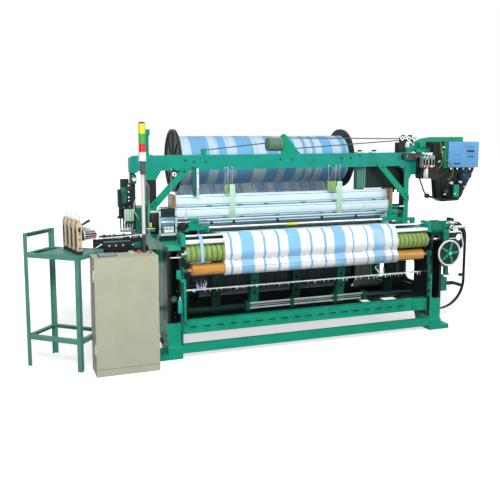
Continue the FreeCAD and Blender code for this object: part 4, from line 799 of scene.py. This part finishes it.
def makeHandwheel():
    x, y, z = wheel["x"], wheel["y"], wheel["z"]
    mesh = bmesh.new()
    rim = bmesh.ops.create_circle(mesh, segments=14, radius=wheel["grip"] / 1000,
                                  matrix=Matrix.Translation(at(x + wheel["rim"], y, z)))
    edges = list({e for v in rim["verts"] for e in v.link_edges})
    bmesh.ops.spin(mesh, geom=rim["verts"] + edges, cent=at(x, y, z), axis=(0, 1, 0),
                   angle=math.tau, steps=64, use_merge=True)
    bmesh.ops.recalc_face_normals(mesh, faces=mesh.faces)
    # the black disc behind the arms is painted shade seen through the wheel
    addParts(mesh, discs=[(x, z, -49, -46, 110, 48, 3), (x, z, -64, 70, 24, 32, 1)],
             rods=[((x, -70, z), (x, -64, z), 11, 12, 6, 2)])
    for k in range(wheel["arms"]):
        arm = addBox(mesh, x - 13, x + 13, y - 6.5, y + 6.5, z + 17, z + 111, 0, 1)
        for vert in arm:
            if vert.co.z > (z + 80) / 1000:
                vert.co.x = x / 1000 + (vert.co.x - x / 1000) * wheel["taper"]
        angle = math.tau * k / wheel["arms"] + math.radians(wheel["lean"])
        bmesh.ops.rotate(mesh, cent=at(x, y, z), verts=arm,
                         matrix=Matrix.Rotation(angle, 3, "Y"))
    addPiece("handwheelRim", mesh, [whiteAbs, greenEnamel, zincPlate, blackCasting],
             "handwheel", ["handwheel"], 50)


def makeShadeTray():
    # folded dark sheet under the sley, a painted shadow that keeps the floor from showing through
    # the machine, shaped as a tray with two clean-out holes
    mesh = bmesh.new()
    low, top = 192, 194.5
    addParts(mesh, [(*field, low, top) for field in (
        (-1195, 1195, 130, 456), (-1195, 762, 456, 590), (852, 1002, 456, 590),
        (1182, 1195, 456, 590), (-1195, 1195, 590, 856), (-1195, 1195, 924, 1052))])
    addParts(mesh, [(-1195, 1195, y, y + 2, top, top + 13) for y in (130, 854, 924)])
    addBox(mesh, -895, 895, 1050, 1052, top, 248)
    for x in (-900, -300, 300, 700):
        addBox(mesh, x - 1, x + 1, 140, 850, top, top + 5)
        addBolt(mesh, at(x + 20, 150, top), (0, 0, 1), 5, 5)
    addPiece("shadeTray", mesh, [blackGreenEnamelAndShade], "frame")


strapSizes = dict(straps=[(-588, -533, 1077, 1384), (506, 562, 1079, 1384)],
                  pads=[(-637, -596, 1299, 1380), (404, 500, 1292, 1388)],
                  depth=596, clear=1532)


def makeStraps():
    # straps, pads and wires between the arch and the heald frames, in front of the frames;
    # wires leave the arch's front face above the clear window over the healds
    mesh = bmesh.new()
    depth, clear = strapSizes["depth"], strapSizes["clear"]
    wires = []
    for x0, x1, z0, z1 in strapSizes["straps"]:
        addParts(mesh, [(x0, x1, 592, 595, z0, z1, 1, 0),
                        (x0 + 3, x1 - 3, 595, 598, z1 - 8, z1, 1, 0)])
        wires.append(((x0 + x1) / 2, z1 - 6))
    for x0, x1, z0, z1 in strapSizes["pads"]:
        addBox(mesh, x0, x1, 592, 598, z0, z1, 2.5, 1)
        for x in range(x0 + 8, x1 - 6, 14):
            addBox(mesh, x, x + 2, 590, 593, z0 + 4, z1 - 4, 0, 0)
        wires += [(x0 + 8, z1 - 6), (x1 - 8, z1 - 6)]
    for x, z in wires:
        addRod(mesh, at(x, depth, z), at(x, depth, clear), 1.6, 1.6, 8, 6)
        addBox(mesh, x - 7, x + 7, depth - 2, 610, clear - 6, clear + 8, 1, 6)
    addParts(mesh, [
        (-932, -906, 587, 598, 1286, 1532, 3, 2), (-932, -906, 587, 611, 1524, 1548, 3, 2),
        (-898, -877, 590, 598, 1270, 1530, 3, 3), (-898, -877, 590, 611, 1522, 1534, 3, 3),
        (778, 866, 690.5, 694.5, 1300, 1535, 1.5, 4), (778, 866, 679, 692, 1521, 1535, 1, 4),
        (-1109, -1097, 592, 598, 1490, 1532, 1, 5), (-1109, -1097, 592, 610, 1524, 1536, 1, 5),
        (-1134, -1126, 594, 610, 1526, 1536, 1, 6),
        *[(x, x + 6, 688.5, 691, 1303, 1517, 0, 2) for x in (792, 818, 848)]],
        rods=[((-1130, 596, 1200), (-1130, 596, 1532), 1.3, 1.3, 6, 6)],
        discs=[(-887, 1490, 586, 591, 6, 16, 5), (-1103, 1486, 584, 598, 20, 28, 3),
               (-1103, 1486, 581, 584, 8, 20, 5),
               *[(-887, z, 586, 591, 4, 12, 5) for z in (1300, 1322, 1344)]])
    addPiece("strapsAndHangers", mesh,
             [mintAbsAndHighlight, mossAbs, deepGreenEnamel, whiteAbs, standEnamel, blackRubber, wireSteel],
             "frame")


# each mark is its left, right, lower and upper edge as a share of the face, counted from the
# left and from the top, and its material
boxSizes = dict(corner=(1700, 492), turn=-20.4, wide=304, deep=60, low=1500, tall=257, marks=[
    (0.603, 0.851, 0.40, 0.32, 1), (0.61, 0.845, 0.475, 0.45, 5),
    (0.62, 0.845, 0.589, 0.553, 2), (0.19, 0.40, 0.88, 0.82, 2),
    (0.52, 0.555, 0.225, 0.135, 3), (0.61, 0.857, 0.212, 0.172, 5),
    (0.133, 0.46, 0.378, 0.352, 4), (0.133, 0.425, 0.505, 0.478, 5),
    (0.133, 0.445, 0.682, 0.655, 4)])


def turnedTo(spot, degrees):
    # from parts drawn round the machine's zero to the spot, turned
    return (Matrix.Translation(spot) @ Matrix.Rotation(math.radians(degrees), 4, "Z")
            @ Matrix.Translation(-at(0, 0, 0)))


def makeControlBox():
    # sheet steel box with display windows, key slots and plain marks in place of lettering
    mesh = bmesh.new()
    wide, deep, low, tall = (boxSizes[name] for name in ("wide", "deep", "low", "tall"))
    addBox(mesh, 0, wide, 0, deep, low, low + tall, 5, 0)
    addBox(mesh, 4, wide - 4, -2, 0, low + 4, low + tall - 4, 1, 0)
    addParts(mesh, [(left * wide, right * wide, -3.6, -1.6, low + tall * (1 - down),
                     low + tall * (1 - up), 0.5, index)
                    for left, right, down, up, index in boxSizes["marks"]])
    addParts(mesh, discs=[((0.585 + 0.06 * k) * wide, low + 0.148 * tall, -4, -1, 3.6, 12, 5)
                          for k in range(6)])
    for x, index in ((40, 6), (102, 6), (164, 8), (226, 6)):
        addRod(mesh, at(x, 34, low - 22), at(x, 34, low + 2), 11, 11, 12, index)
        addRod(mesh, at(x, 34, low - 38), at(x, 34, low - 22), 8, 8, 16, 7)
    place = turnedTo(at(*boxSizes["corner"], 0), boxSizes["turn"])
    bmesh.ops.transform(mesh, matrix=place, verts=mesh.verts)
    addPiece("controlBoxTurned", mesh, [blueEnamel, displayRed, printNavy, redAbs, printPink,
                                        printBlue, zincPlate, blackRubber, blueYarn],
             "frame", ["control_box"])
    for k, (x, end) in enumerate(((1748, 1650), (1806, 1760), (1866, 1835), (1922, 1890))):
        y = 505 - 22 * k
        addTubes(f"boxCable{k + 1}", [[(x, y, 1470), (x + 4, y + 5, 1430), (end, 490, 1400),
                                       (end, 520, 1340 + 8 * k)]], 5, blackRubber)


caseCut = dict(z=1393, front=520, deep=86)


def makeDobbyCase():
    # the deep upper housing and the shallow lower one, cut from the solid
    back = at(0, caseCut["front"] + caseCut["deep"], caseCut["z"])
    whole = bmesh.new()
    for cuts in ([(0, 0, -1)], [(0, 0, 1), (0, 1, 0)]):
        part = bmesh.new()
        part.from_mesh(nodes["dobby_case"].data)
        bmesh.ops.remove_doubles(part, verts=part.verts, dist=0.00002)
        for way in cuts:
            geom = list(part.verts) + list(part.edges) + list(part.faces)
            cut = bmesh.ops.bisect_plane(part, geom=geom, plane_co=back, plane_no=way,
                                         clear_outer=True)["geom_cut"]
            rim = [item for item in cut if isinstance(item, bmesh.types.BMEdge)]
            bmesh.ops.holes_fill(part, edges=rim, sides=0)
        bmesh.ops.recalc_face_normals(part, faces=part.faces)
        data = bpy.data.meshes.new("casePart")
        part.to_mesh(data)
        part.free()
        whole.from_mesh(data)
        bpy.data.meshes.remove(data)
    addPiece("dobbyCaseShell", whole, [dobbyEnamel], "frame", ["dobby_case"], 35)


feeders = dict(turn=11.4, pitch=100, middle=(-2037, 165), height=919, shaft=150)


def makeFeeders():
    # four storage feeders: beige housing, finned black drum, guides and plain red marks
    mesh = bmesh.new()
    lean = math.radians(feeders["turn"])
    up = feeders["shaft"]
    x, y = feeders["middle"]
    for index in range(4):
        known = set(mesh.verts)
        addParts(mesh, [
            (-27, 15, -29, 29, 30, 245, 5, 0), (-20, 8, -22, 22, 244, 269, 4, 0),
            (-26, 18, -20, 20, 0, 31, 2, 1), (-28.2, -26, -16, 16, 60, 200, 2, 1),
            (-16, 4, -30.2, -28, 176, 214, 1, 1), (-16, 4, 28, 30.2, 176, 214, 1, 1),
            (-14, 2, -30.2, -27.6, 156, 168, 1, 3), (-14, 2, 28, 30.6, 156, 168, 1, 3),
            *[(edge, edge + 7, -40, -34, up - 9, up + 9, 1, 3) for edge in (62, 84, 104)]],
            rods=[
                ((15, 0, up), (36, 0, up), 44, 44, 32, 1),
                ((20, 0, up), (80, 0, up), 8, 8, 12, 2),
                ((40, 0, up), (118, 0, up), 35, 30, 24, 1),
                ((118, 0, up), (136, 0, up), 30, 12, 24, 1),
                ((34.5, 0, up), (38.5, 0, up), 41, 41, 28, 4 if index == 1 else 2),
                ((136, 0, up), (140, 0, up), 10, 8, 16, 3),
                ((-4, 0, 268), (-10, 0, 292), 2, 2, 6, 2),
                ((-10, 0, 292), (14, 0, 300), 2, 2, 6, 2),
                ((4, 12, 268), (18, 14, 296), 1.6, 1.6, 6, 1),
                *[((41, a * 38, up + b * 38), (126, a * 32, up + b * 32), 3.4, 2.6, 6, 2)
                  for a, b in ringSpots(12, 1)]],
            discs=[(-6, z, y0, y0 + 2.2, radius, 16, 1)
                   for y0 in (-30.2, 28) for z, radius in ((120, 7), (52, 8))])
        if index == 3:
            addBox(mesh, 20, 34, -10, 10, 226, 240, 2, 1)
            addRod(mesh, at(30, 0, 232), at(86, 0, 262), 8, 11, 14, 1)
        step = feeders["pitch"] * (index - 1.5)
        spot = at(x + step * math.sin(lean), y - step * math.cos(lean), feeders["height"])
        bmesh.ops.transform(mesh, matrix=turnedTo(spot, feeders["turn"]),
                            verts=[vert for vert in mesh.verts if vert not in known])
    addPiece("weftFeeders", mesh, [beigeAbs, blackRubber, zincPlate, redAbs, pinkAbs],
             "frame", ["feeder_bodies"])


def makeRibbon():
    # a strip of spare selvedge left over the rods and the sleeve on the left
    points = refined(pathOver([(150, 1010, 0), (100, 1003, 15.4), (50, 960, 25.4),
                               (65, 859, 69.4), (-3, 796, 0)], 8), 14)
    mesh = bmesh.new()
    sweepAcross(mesh, points, -1041, -1013, 3)
    ribbon = addPiece("selvedgeRibbon", mesh, [blueYarn], "frame", smooth=70)
    thicken(ribbon, 1.2)


makeFrameBolts()
makeSignalTower()
makeLint()
makeHandwheel()
makeShadeTray()
makeStraps()
makeControlBox()
makeDobbyCase()
makeFeeders()
makeRibbon()
print("hardware made")


# ---- small still pieces, each a table of its parts ----

stillPieces = {
    # dark strip inside the channel of the front beam, a painted shadow in its hollow
    "slotShadowSheet": dict(materials=[blackGreenEnamelAndShade], slot="dark_paint", boxes=[
        (-1195, 1195, 76, 79, 198, 290)]),
    # zinc edges, a blued panel and the comb at the left gripper's way in
    "gripperPlate": dict(
        materials=[zincPlate, steelBlueAndShade, whiteAbs, blackRubber, paleBlueEdge],
        slot="bright_steel", boxes=[
            (-1318, -1304, 281, 286, 990, 1222, 1, 4), (-1180, -1166, 281, 286, 990, 1222, 1, 4),
            (-1304, -1180, 281, 286, 990, 1010, 1, 4), (-1300, -1184, 284, 290, 1072, 1146, 1, 1),
            (-1300, -1184, 282, 290, 1100, 1112, 1, 0), (-1290, -1194, 282, 290, 1016, 1066, 1, 2),
            (-1289, -1279, 279, 284, 1016, 1062, 1, 3),
            *[(x - 3, x + 3, 279, 284, 1040, 1062 - k % 2 * 7, 1, 3)
              for k, x in enumerate(range(-1272, -1206, 13))]],
        bolts=[(x, 281, z, 4, 4, 3) for x in (-1311, -1173) for z in (1000, 1050, 1150, 1210)]),
    # the mint cap on top of the dark cover is a painted highlight along the cover's top
    "gripperWheel": dict(
        materials=[blackCasting, blackRubber, zincPlate, mintAbsAndHighlight], slot="black_cast",
        boxes=[
            (-1150, -1060, 326, 344, 1088, 1096, 2, 2), (-1158, -1142, 326, 344, 985, 1060, 2, 0),
            (-1362, -1272, 436, 470, 985, 1172, 26, 0), (-1358, -1286, 440, 462, 1166, 1188, 8, 3),
            (1192, 1352, 757, 775, 975, 1122, 12, 0),
            *[(x - 1110, x - 1104, 324, 336, z + 1051, z + 1057, 1, 0)
              for x, z in ringSpots(14, 36)]],
        rods=[((-1160, 332, 1092), (-1040, 332, 1092), 5, 5, 12, 2)],
        discs=[(-1107, 1054, 322, 338, 34, 28, 0), (-1107, 1054, 316, 322, 24, 28, 1),
               (-1107, 1054, 308, 322, 12, 28, 0), (-1318, 1100, 430, 436, 30, 24, 1)]),
    "healdStop": dict(materials=[greenEnamel, whiteAbs], slot="frame_paint",
                      boxes=[(1096, 1124, 580, 591, 1088, 1140, 3, 0)],
                      rods=[((1122, 584, 1116), (1200, 584, 1116), 10, 10, 16, 0),
                            ((1198, 584, 1116), (1256, 584, 1116), 8, 8, 16, 1)]),
    "templeTape": dict(materials=[yellowAbs], slot="white_plastic", rods=[
        ((-119, 385, 1024), (-4, 385, 1024), 12.7, 12.7, 24, 0)]),
    # the lever that hangs in front of the left frame, with its gas strut and pulley
    "armLever": dict(
        materials=[greenEnamel, deepGreenEnamel, tealPaint, zincPlate, blackCasting],
        slot="frame_paint", boxes=[
            (-1252, -1213, -14, 0, 672, 748, 5, 0), (-1214, -1172, -14, 0, 640, 668, 4, 0),
            (-1224, -1208, -14, 0, 656, 684, 3, 0), (-1190, -1171, -14, 0, 312, 645, 4, 0),
            (-1216, -1199, -14, 0, 130, 545, 4, 1), (-1246, -1212, -34, -8, 392, 500, 6, 2)],
        rods=[((-1229, -21, 498), (-1229, -21, 530), 7, 7, 16, 3),
              ((-1300, -8, 852), (-1212, -8, 852), 6, 6, 16, 3),
              ((-1215, -8, 858), (-1165, -8, 858), 13, 13, 20, 1)],
        discs=[(-1276, 512, -16, 2, 28, 32, 4), (-1276, 512, -19, -16, 24, 28, 1),
               (-1276, 512, -21, -19, 18, 24, 4), (-1276, 512, -24, -21, 5, 6, 3)],
        bolts=[(-1262, 0, z, 5, 5, 4) for z in (316, 358, 400)]),
    "boxBracket": dict(materials=[deepGreenEnamel, greenEnamel], slot="frame_paint", boxes=[
        (1652, 1698, 498, 540, 1490, 1762, 4, 0), (1662, 1668, 494, 499, 1500, 1750, 1, 1),
        (1690, 1960, 548, 590, 1650, 1690, 4, 0)]),
    "dobbyFittings": dict(
        materials=[whiteAbs, paleGreyAbs, redAbs, yellowAbs, zincPlate, cylinderBlue,
                   blackRubber], slot="white_plastic",
        boxes=[(1402, 1430, 484, 508, 1502, 1530, 2, 2), (1492, 1516, 484, 508, 1502, 1526, 3, 3),
               (1440, 1500, 470, 500, 1634, 1652, 3, 0),
               *[(1400 + 36 * k, 1424 + 36 * k, 488, 516, 1524, 1586, 2, k % 2)
                 for k in range(4)]],
        rods=[((1372, 470, 1648), (1496, 470, 1626), 9, 9, 16, 0),
              ((1455, 500, 1488), (1455, 500, 1502), 8, 8, 12, 4),
              ((1455, 500, 1378), (1455, 500, 1393), 6, 6, 12, 4),
              *[((x, 480, 1600), (x, 480, 1626), 6, 6, 12, 0) for x in range(1412, 1521, 36)],
              *[((x, 478, 1512), (x, 478, 1526), 7, 7, 12, 4) for x in range(1412, 1521, 36)],
              *[((x, 462, z), (x, 492, z), r, r * 0.9, 20, index) for x, z, r, index in (
                  (1670, 1266, 20, 5), (1732, 1345, 14, 0), (1841, 1352, 12, 0),
                  (1900, 1300, 10, 0))],
              *[((x, 470, z), (x + 26, 470, z + 6), 7, 7, 12, 4) for x, z in (
                  (1590, 1650), (1612, 1700), (1560, 1560), (1640, 1230), (1760, 1232))]]),
    # bright rollers and caps of the letting-off gear over the right post
    "topGearRollers": dict(
        materials=[zincPlate, blackRubber, blackCasting], slot="bright_steel",
        boxes=[(1270, 1330, 600, 613, 1742, 1760, 2, 0), (1284, 1308, 600, 613, 1700, 1745, 2, 0),
               (1180, 1262, 600, 611, 1664, 1738, 4, 2)],
        rods=[((1330, 606, 1752), (1372, 606, 1716), 5, 5, 12, 0)],
        discs=[row for x, z, r in ((1226, 1790, 20), (1262, 1800, 16), (1300, 1788, 22),
                                   (1345, 1796, 15), (1380, 1790, 12))
               for row in ((x, z, 598, 612, r, 24, 0), (x, z, 594, 598, r * 0.5, 6, 1))]),
    "archClamps": dict(materials=[zincPlate, blackCasting], slot="black_cast", boxes=[
        (730, 800, 640, 668, 1651, 1664, 3, 0), (890, 960, 640, 668, 1651, 1664, 3, 0),
        (758, 804, 644, 664, 1662, 1680, 4, 1), (918, 964, 644, 664, 1662, 1680, 4, 1)]),
    "selectorFittings": dict(
        materials=[mintAbsAndHighlight, blackCasting, deepGreenEnamel, zincPlate, steelBlueAndShade, yellowAbs,
                   blackRubber], slot="dark_paint",
        boxes=[
            (-1556, -1518, 552, 596, 1092, 1196, 4), (-1514, -1476, 552, 596, 1092, 1196, 4),
            (-1540, -1536, 549, 553, 1096, 1192, 0, 6), (-1498, -1494, 549, 553, 1096, 1192, 0, 6),
            (-1592, -1470, 556, 600, 1196, 1210, 2, 1), (-1490, -1444, 560, 600, 1414, 1492, 8, 2),
            (-1578, -1530, 566, 600, 1330, 1386, 6, 2), (-1530, -1500, 566, 600, 1250, 1420, 5, 1),
            (-1548, -1480, 552, 592, 1040, 1092, 4, 1), (-1600, -1470, 500, 560, 1008, 1022, 3, 4),
            (-1376, -1358, 380, 400, 1052, 1092, 3, 5), (-1866, -1442, 298, 306, 868, 990, 3, 1),
            (-1780, -1560, 294, 299, 958, 970, 1, 4), (-1530, -1470, 290, 299, 900, 950, 3, 2),
            *[(x, x + 34, 286, 304, 985, 1004 + 8 * (k % 3), 3, (3, 1, 4)[k % 3])
              for k, x in enumerate(range(-1850, -1477, 62))]],
        rods=[((-1552, 572, 1250), (-1552, 572, 1330), 20, 24, 20, 2),
              ((-1400, 388, 1040), (-1330, 388, 1040), 6, 6, 12, 3),
              ((-1400, 388, 1022), (-1330, 388, 1022), 5, 5, 12, 4),
              ((-1848, 284, 992), (-1465, 284, 1010), 5, 5, 12, 3),
              ((-1850, 293, 915), (-1795, 293, 946), 6, 8, 12, 3),
              *[((x, 548, 1072), (x, 548, 1040), 6, 6, 12, 3) for x in range(-1556, -1489, 22)],
              *[((x, 540, 1036), (x - 30, 520, 1016), 4, 4, 12, 3)
                for x in range(-1556, -1489, 22)]],
        discs=[(-1467, 1452, 552, 560, 16, 24, 3),
               *[(-1515, z, 560, 566, 7, 12, 3) for z in (1270, 1300, 1345, 1400)],
               *[(x, 930, 290, 299, 9, 16, 3) for x in (-1735, -1682, -1622, -1540)]]),
    "cabinetFittings": dict(
        materials=[blackRubber, paleGreyAbs, whiteAbs, zincPlate], slot="grey_plastic",
        boxes=[
            (-1880, -1738, -118, 42, 915.6, 917.6, 0.5), (-1634, -1612, -30, 5, 916, 930, 2, 2),
            (-1480, -1462, -80, -40, 915.6, 918, 0.5),
            (-1936, -1934.4, -150, -10, 640, 700, 0.5, 1),
            (-1938, -1934, -206, -190, 180, 250, 1, 3), (-1938, -1934, -206, -190, 760, 830, 1, 3),
            *[(-1874, -1744, y, y + 5, 917, 920, 0.5, 1) for y in range(-112, 25, 17)]]),
    # bright levers and caps behind the brake handle on the right end
    "rightTableGear": dict(
        materials=[zincPlate, blackRubber], slot="bright_steel",
        boxes=[(1380, 1590, 100, 128, 902, 914, 2, 0), (1398, 1440, 100, 124, 914, 946, 3, 1),
               (1500, 1560, 104, 124, 914, 934, 3, 0)],
        rods=[((1365, 108, 962), (1440, 108, 1004), 8, 8, 16, 0),
              ((1440, 108, 1004), (1530, 108, 1000), 9, 7, 16, 0),
              ((1530, 108, 1000), (1596, 108, 962), 7, 6, 16, 1)],
        discs=[row for x, z, r in ((1392, 978, 16), (1440, 1002, 13), (1486, 984, 18),
                                   (1530, 998, 11))
               for row in ((x, z, 98, 114, r, 20, 0), (x, z, 95, 98, r * 0.55, 6, 1))]),
}
for name, parts in stillPieces.items():
    addStill(name, **parts)

hoses = {
    "dobbyHose1": (3.2, mossAbs, [(1580, 476, 1752), (1602, 460, 1720), (1600, 458, 1640),
                                  (1640, 458, 1580), (1716, 462, 1540), (1752, 470, 1470),
                                  (1736, 470, 1400), (1700, 490, 1370)]),
    "dobbyHose2": (3.2, mossAbs, [(1600, 476, 1740), (1578, 460, 1690), (1612, 456, 1600),
                                  (1600, 460, 1520), (1570, 480, 1490)]),
    "dobbyHose3": (4, blackRubber, [(1470, 470, 1630), (1520, 450, 1640), (1560, 460, 1600),
                                    (1560, 480, 1540)]),
    "dobbyHose4": (6, blackRubber, [(1650, 486, 1186), (1720, 470, 1170), (1820, 470, 1180),
                                    (1880, 480, 1230), (1890, 490, 1300)]),
    "dobbyHose5": (4, blackRubber, [(1380, 600, 1640), (1366, 560, 1560), (1384, 520, 1500),
                                    (1430, 500, 1480)]),
    "selectorHose": (3, threadWhite, [
        (-1445, 560, 1345), (-1450, 510, 1318), (-1478, 500, 1270), (-1486, 500, 1221),
        (-1478, 500, 1165), (-1440, 505, 1118), (-1430, 560, 1100)]),
}
for name, (radius, material, spots) in hoses.items():
    addTubes(name, [spots], radius, material)
print("small pieces made")


# ---- finishes on the solids that stay ----

finishes = {
    "left_side_frame right_side_frame": frameEnamel,
    "front_cross_beam beam_stands handwheel dobby_arch": greenEnamel,
    "breast_beam back_rest_roller guide_roller start_bar": groundSteel,
    # the rapier wheels and their guides inside the machine are black-green partly as painted shade
    "upper_beam left_rapier_wheel right_rapier_wheel rapier_guides": blackGreenEnamelAndShade,
    "covers weft_selector main_motor": blackGreenEnamelAndShade, "cloth_arms": deepGreenEnamel,
    "take_up_roller feeder_flyer_1 feeder_flyer_2 feeder_flyer_3 feeder_flyer_4": zincPlate,
    "tie_bars": tieEnamel, "arch_beam": archEnamel, "arch_posts": postEnamel,
    "roller_wrap": rubberSleeve, "take_up_gearbox": gearEnamel, "brake_lever": whiteAbs,
    "cloth_roller": amberWood, "temple": templeEnamel, "sley": sleyEnamel,
    "heald_guides": guideWood, "drop_wire_rack": wireSteel,
    "top_mechanism dobby_levers": blackCasting, "overhead_rigging": riggingPaint,
    "dobby_case": dobbyEnamel, "control_box": blueEnamel, "start_button": greenAbs,
    "button_station cabinet_gear": greyAbs, "stop_button stop_knob": redAbs,
    "cabinet_shell cabinet_door": cabinetEnamel, "feeder_stand": standEnamel,
    "feeder_bodies": beigeAbs, "inner_linkage": linkageMetal,
}
for names, material in finishes.items():
    for node in map(nodes.get, names.split()):
        for slot in node.material_slots:
            slot.material = material
        if not node.material_slots:
            node.data.materials.append(material)
print("finishes set")


# ---- floor, light and camera ----

def seenBy(add, *kinds):
    # 1 for the rays of these kinds
    rays = add("LightPath").outputs
    seen = rays[f"Is {kinds[0]} Ray"]
    for kind in kinds[1:]:
        seen = add("Math", {0: seen, 1: rays[f"Is {kind} Ray"]}, operation="MAXIMUM")
    return seen


def makeStage():
    material, add, place = newMaterial("pale studio floor")
    seen = seenBy(add, "Camera", "Glossy")
    mist = add("TexNoise", {"Vector": place, "Scale": 0.6, "Detail": 3})
    tone = layered(add, linear("#D9DADA"), [(mist, "#D4D5D5")])
    tone = add("Mix", {0: seen, 6: linear("#515253"), 7: tone}, data_type="RGBA")
    reach = add("VectorMath", {0: place}, operation="LENGTH")
    away = add("MapRange", {0: reach, 1: 2.2, 2: 3.4, 3: 0.64, 4: 1.05})
    glow = add("Math", {0: seen, 1: away}, operation="MULTIPLY")
    closeMaterial(material, add, {"Base Color": tone, "Roughness": 0.9,
                                  "Emission Strength": glow, "Emission Color": (1, 1, 1, 1)})
    mesh = bmesh.new()
    bmesh.ops.create_grid(mesh, x_segments=1, y_segments=1, size=30)
    data = bpy.data.meshes.new("studioFloor")
    mesh.to_mesh(data)
    mesh.free()
    data.materials.append(material)
    floor = addObject("studioFloor", data)
    floor.location.z = -0.001


def makeWorld():
    world = bpy.data.worlds.new("studio")
    bpy.context.scene.world = world
    world.use_nodes = True
    world.node_tree.nodes.clear()
    add = partial(addNode, world.node_tree)
    seen = seenBy(add, "Camera", "Glossy", "Transmission")
    strength = add("MapRange", {0: seen, 3: 0.12, 4: 1.0})
    back = add("Background", {"Color": (1, 1, 1, 1), "Strength": strength})
    add("OutputWorld", {"Surface": back})


def addLamp(name, place, target, size, watts):
    lamp = bpy.data.lights.new(name, "AREA")
    lamp.shape = "RECTANGLE"
    lamp.size, lamp.size_y = size
    lamp.energy = watts
    thing = addObject(name, lamp)
    thing.location = place
    thing.rotation_euler = (Vector(target) - Vector(place)).to_track_quat("-Z", "Y").to_euler()


cameraSizes = dict(place=(-2.6527, -6.1832, 1.8641), down=7.63, right=20.58, lens=50.54)


def makeCamera():
    lens = bpy.data.cameras.new("photoCamera")
    lens.sensor_width = 36
    lens.lens = cameraSizes["lens"]
    lens.shift_y = -0.05
    lens.clip_end = 100
    camera = addObject("photoCamera", lens)
    camera.location = cameraSizes["place"]
    camera.rotation_euler = (math.radians(90 - cameraSizes["down"]), 0,
                             -math.radians(cameraSizes["right"]))
    bpy.context.scene.camera = camera


makeStage()
makeWorld()
addLamp("keyLamp", (-2.8, -6.0, 4.4), (0, 0, 1.1), (3.0, 1.6), 335)
addLamp("lowLamp", (-2.3, -5.6, 1.75), (0, 0.6, 1.4), (1.2, 0.5), 50)
addLamp("topLamp", (0.5, -1.5, 6.5), (0, 0, 0.9), (6, 4), 125)
addLamp("sideLamp", (5.5, -5.0, 2.8), (0.6, 0, 1.0), (3, 2.5), 130)
makeCamera()
bpy.context.scene.view_settings.view_transform = "Standard"
print("stage set")
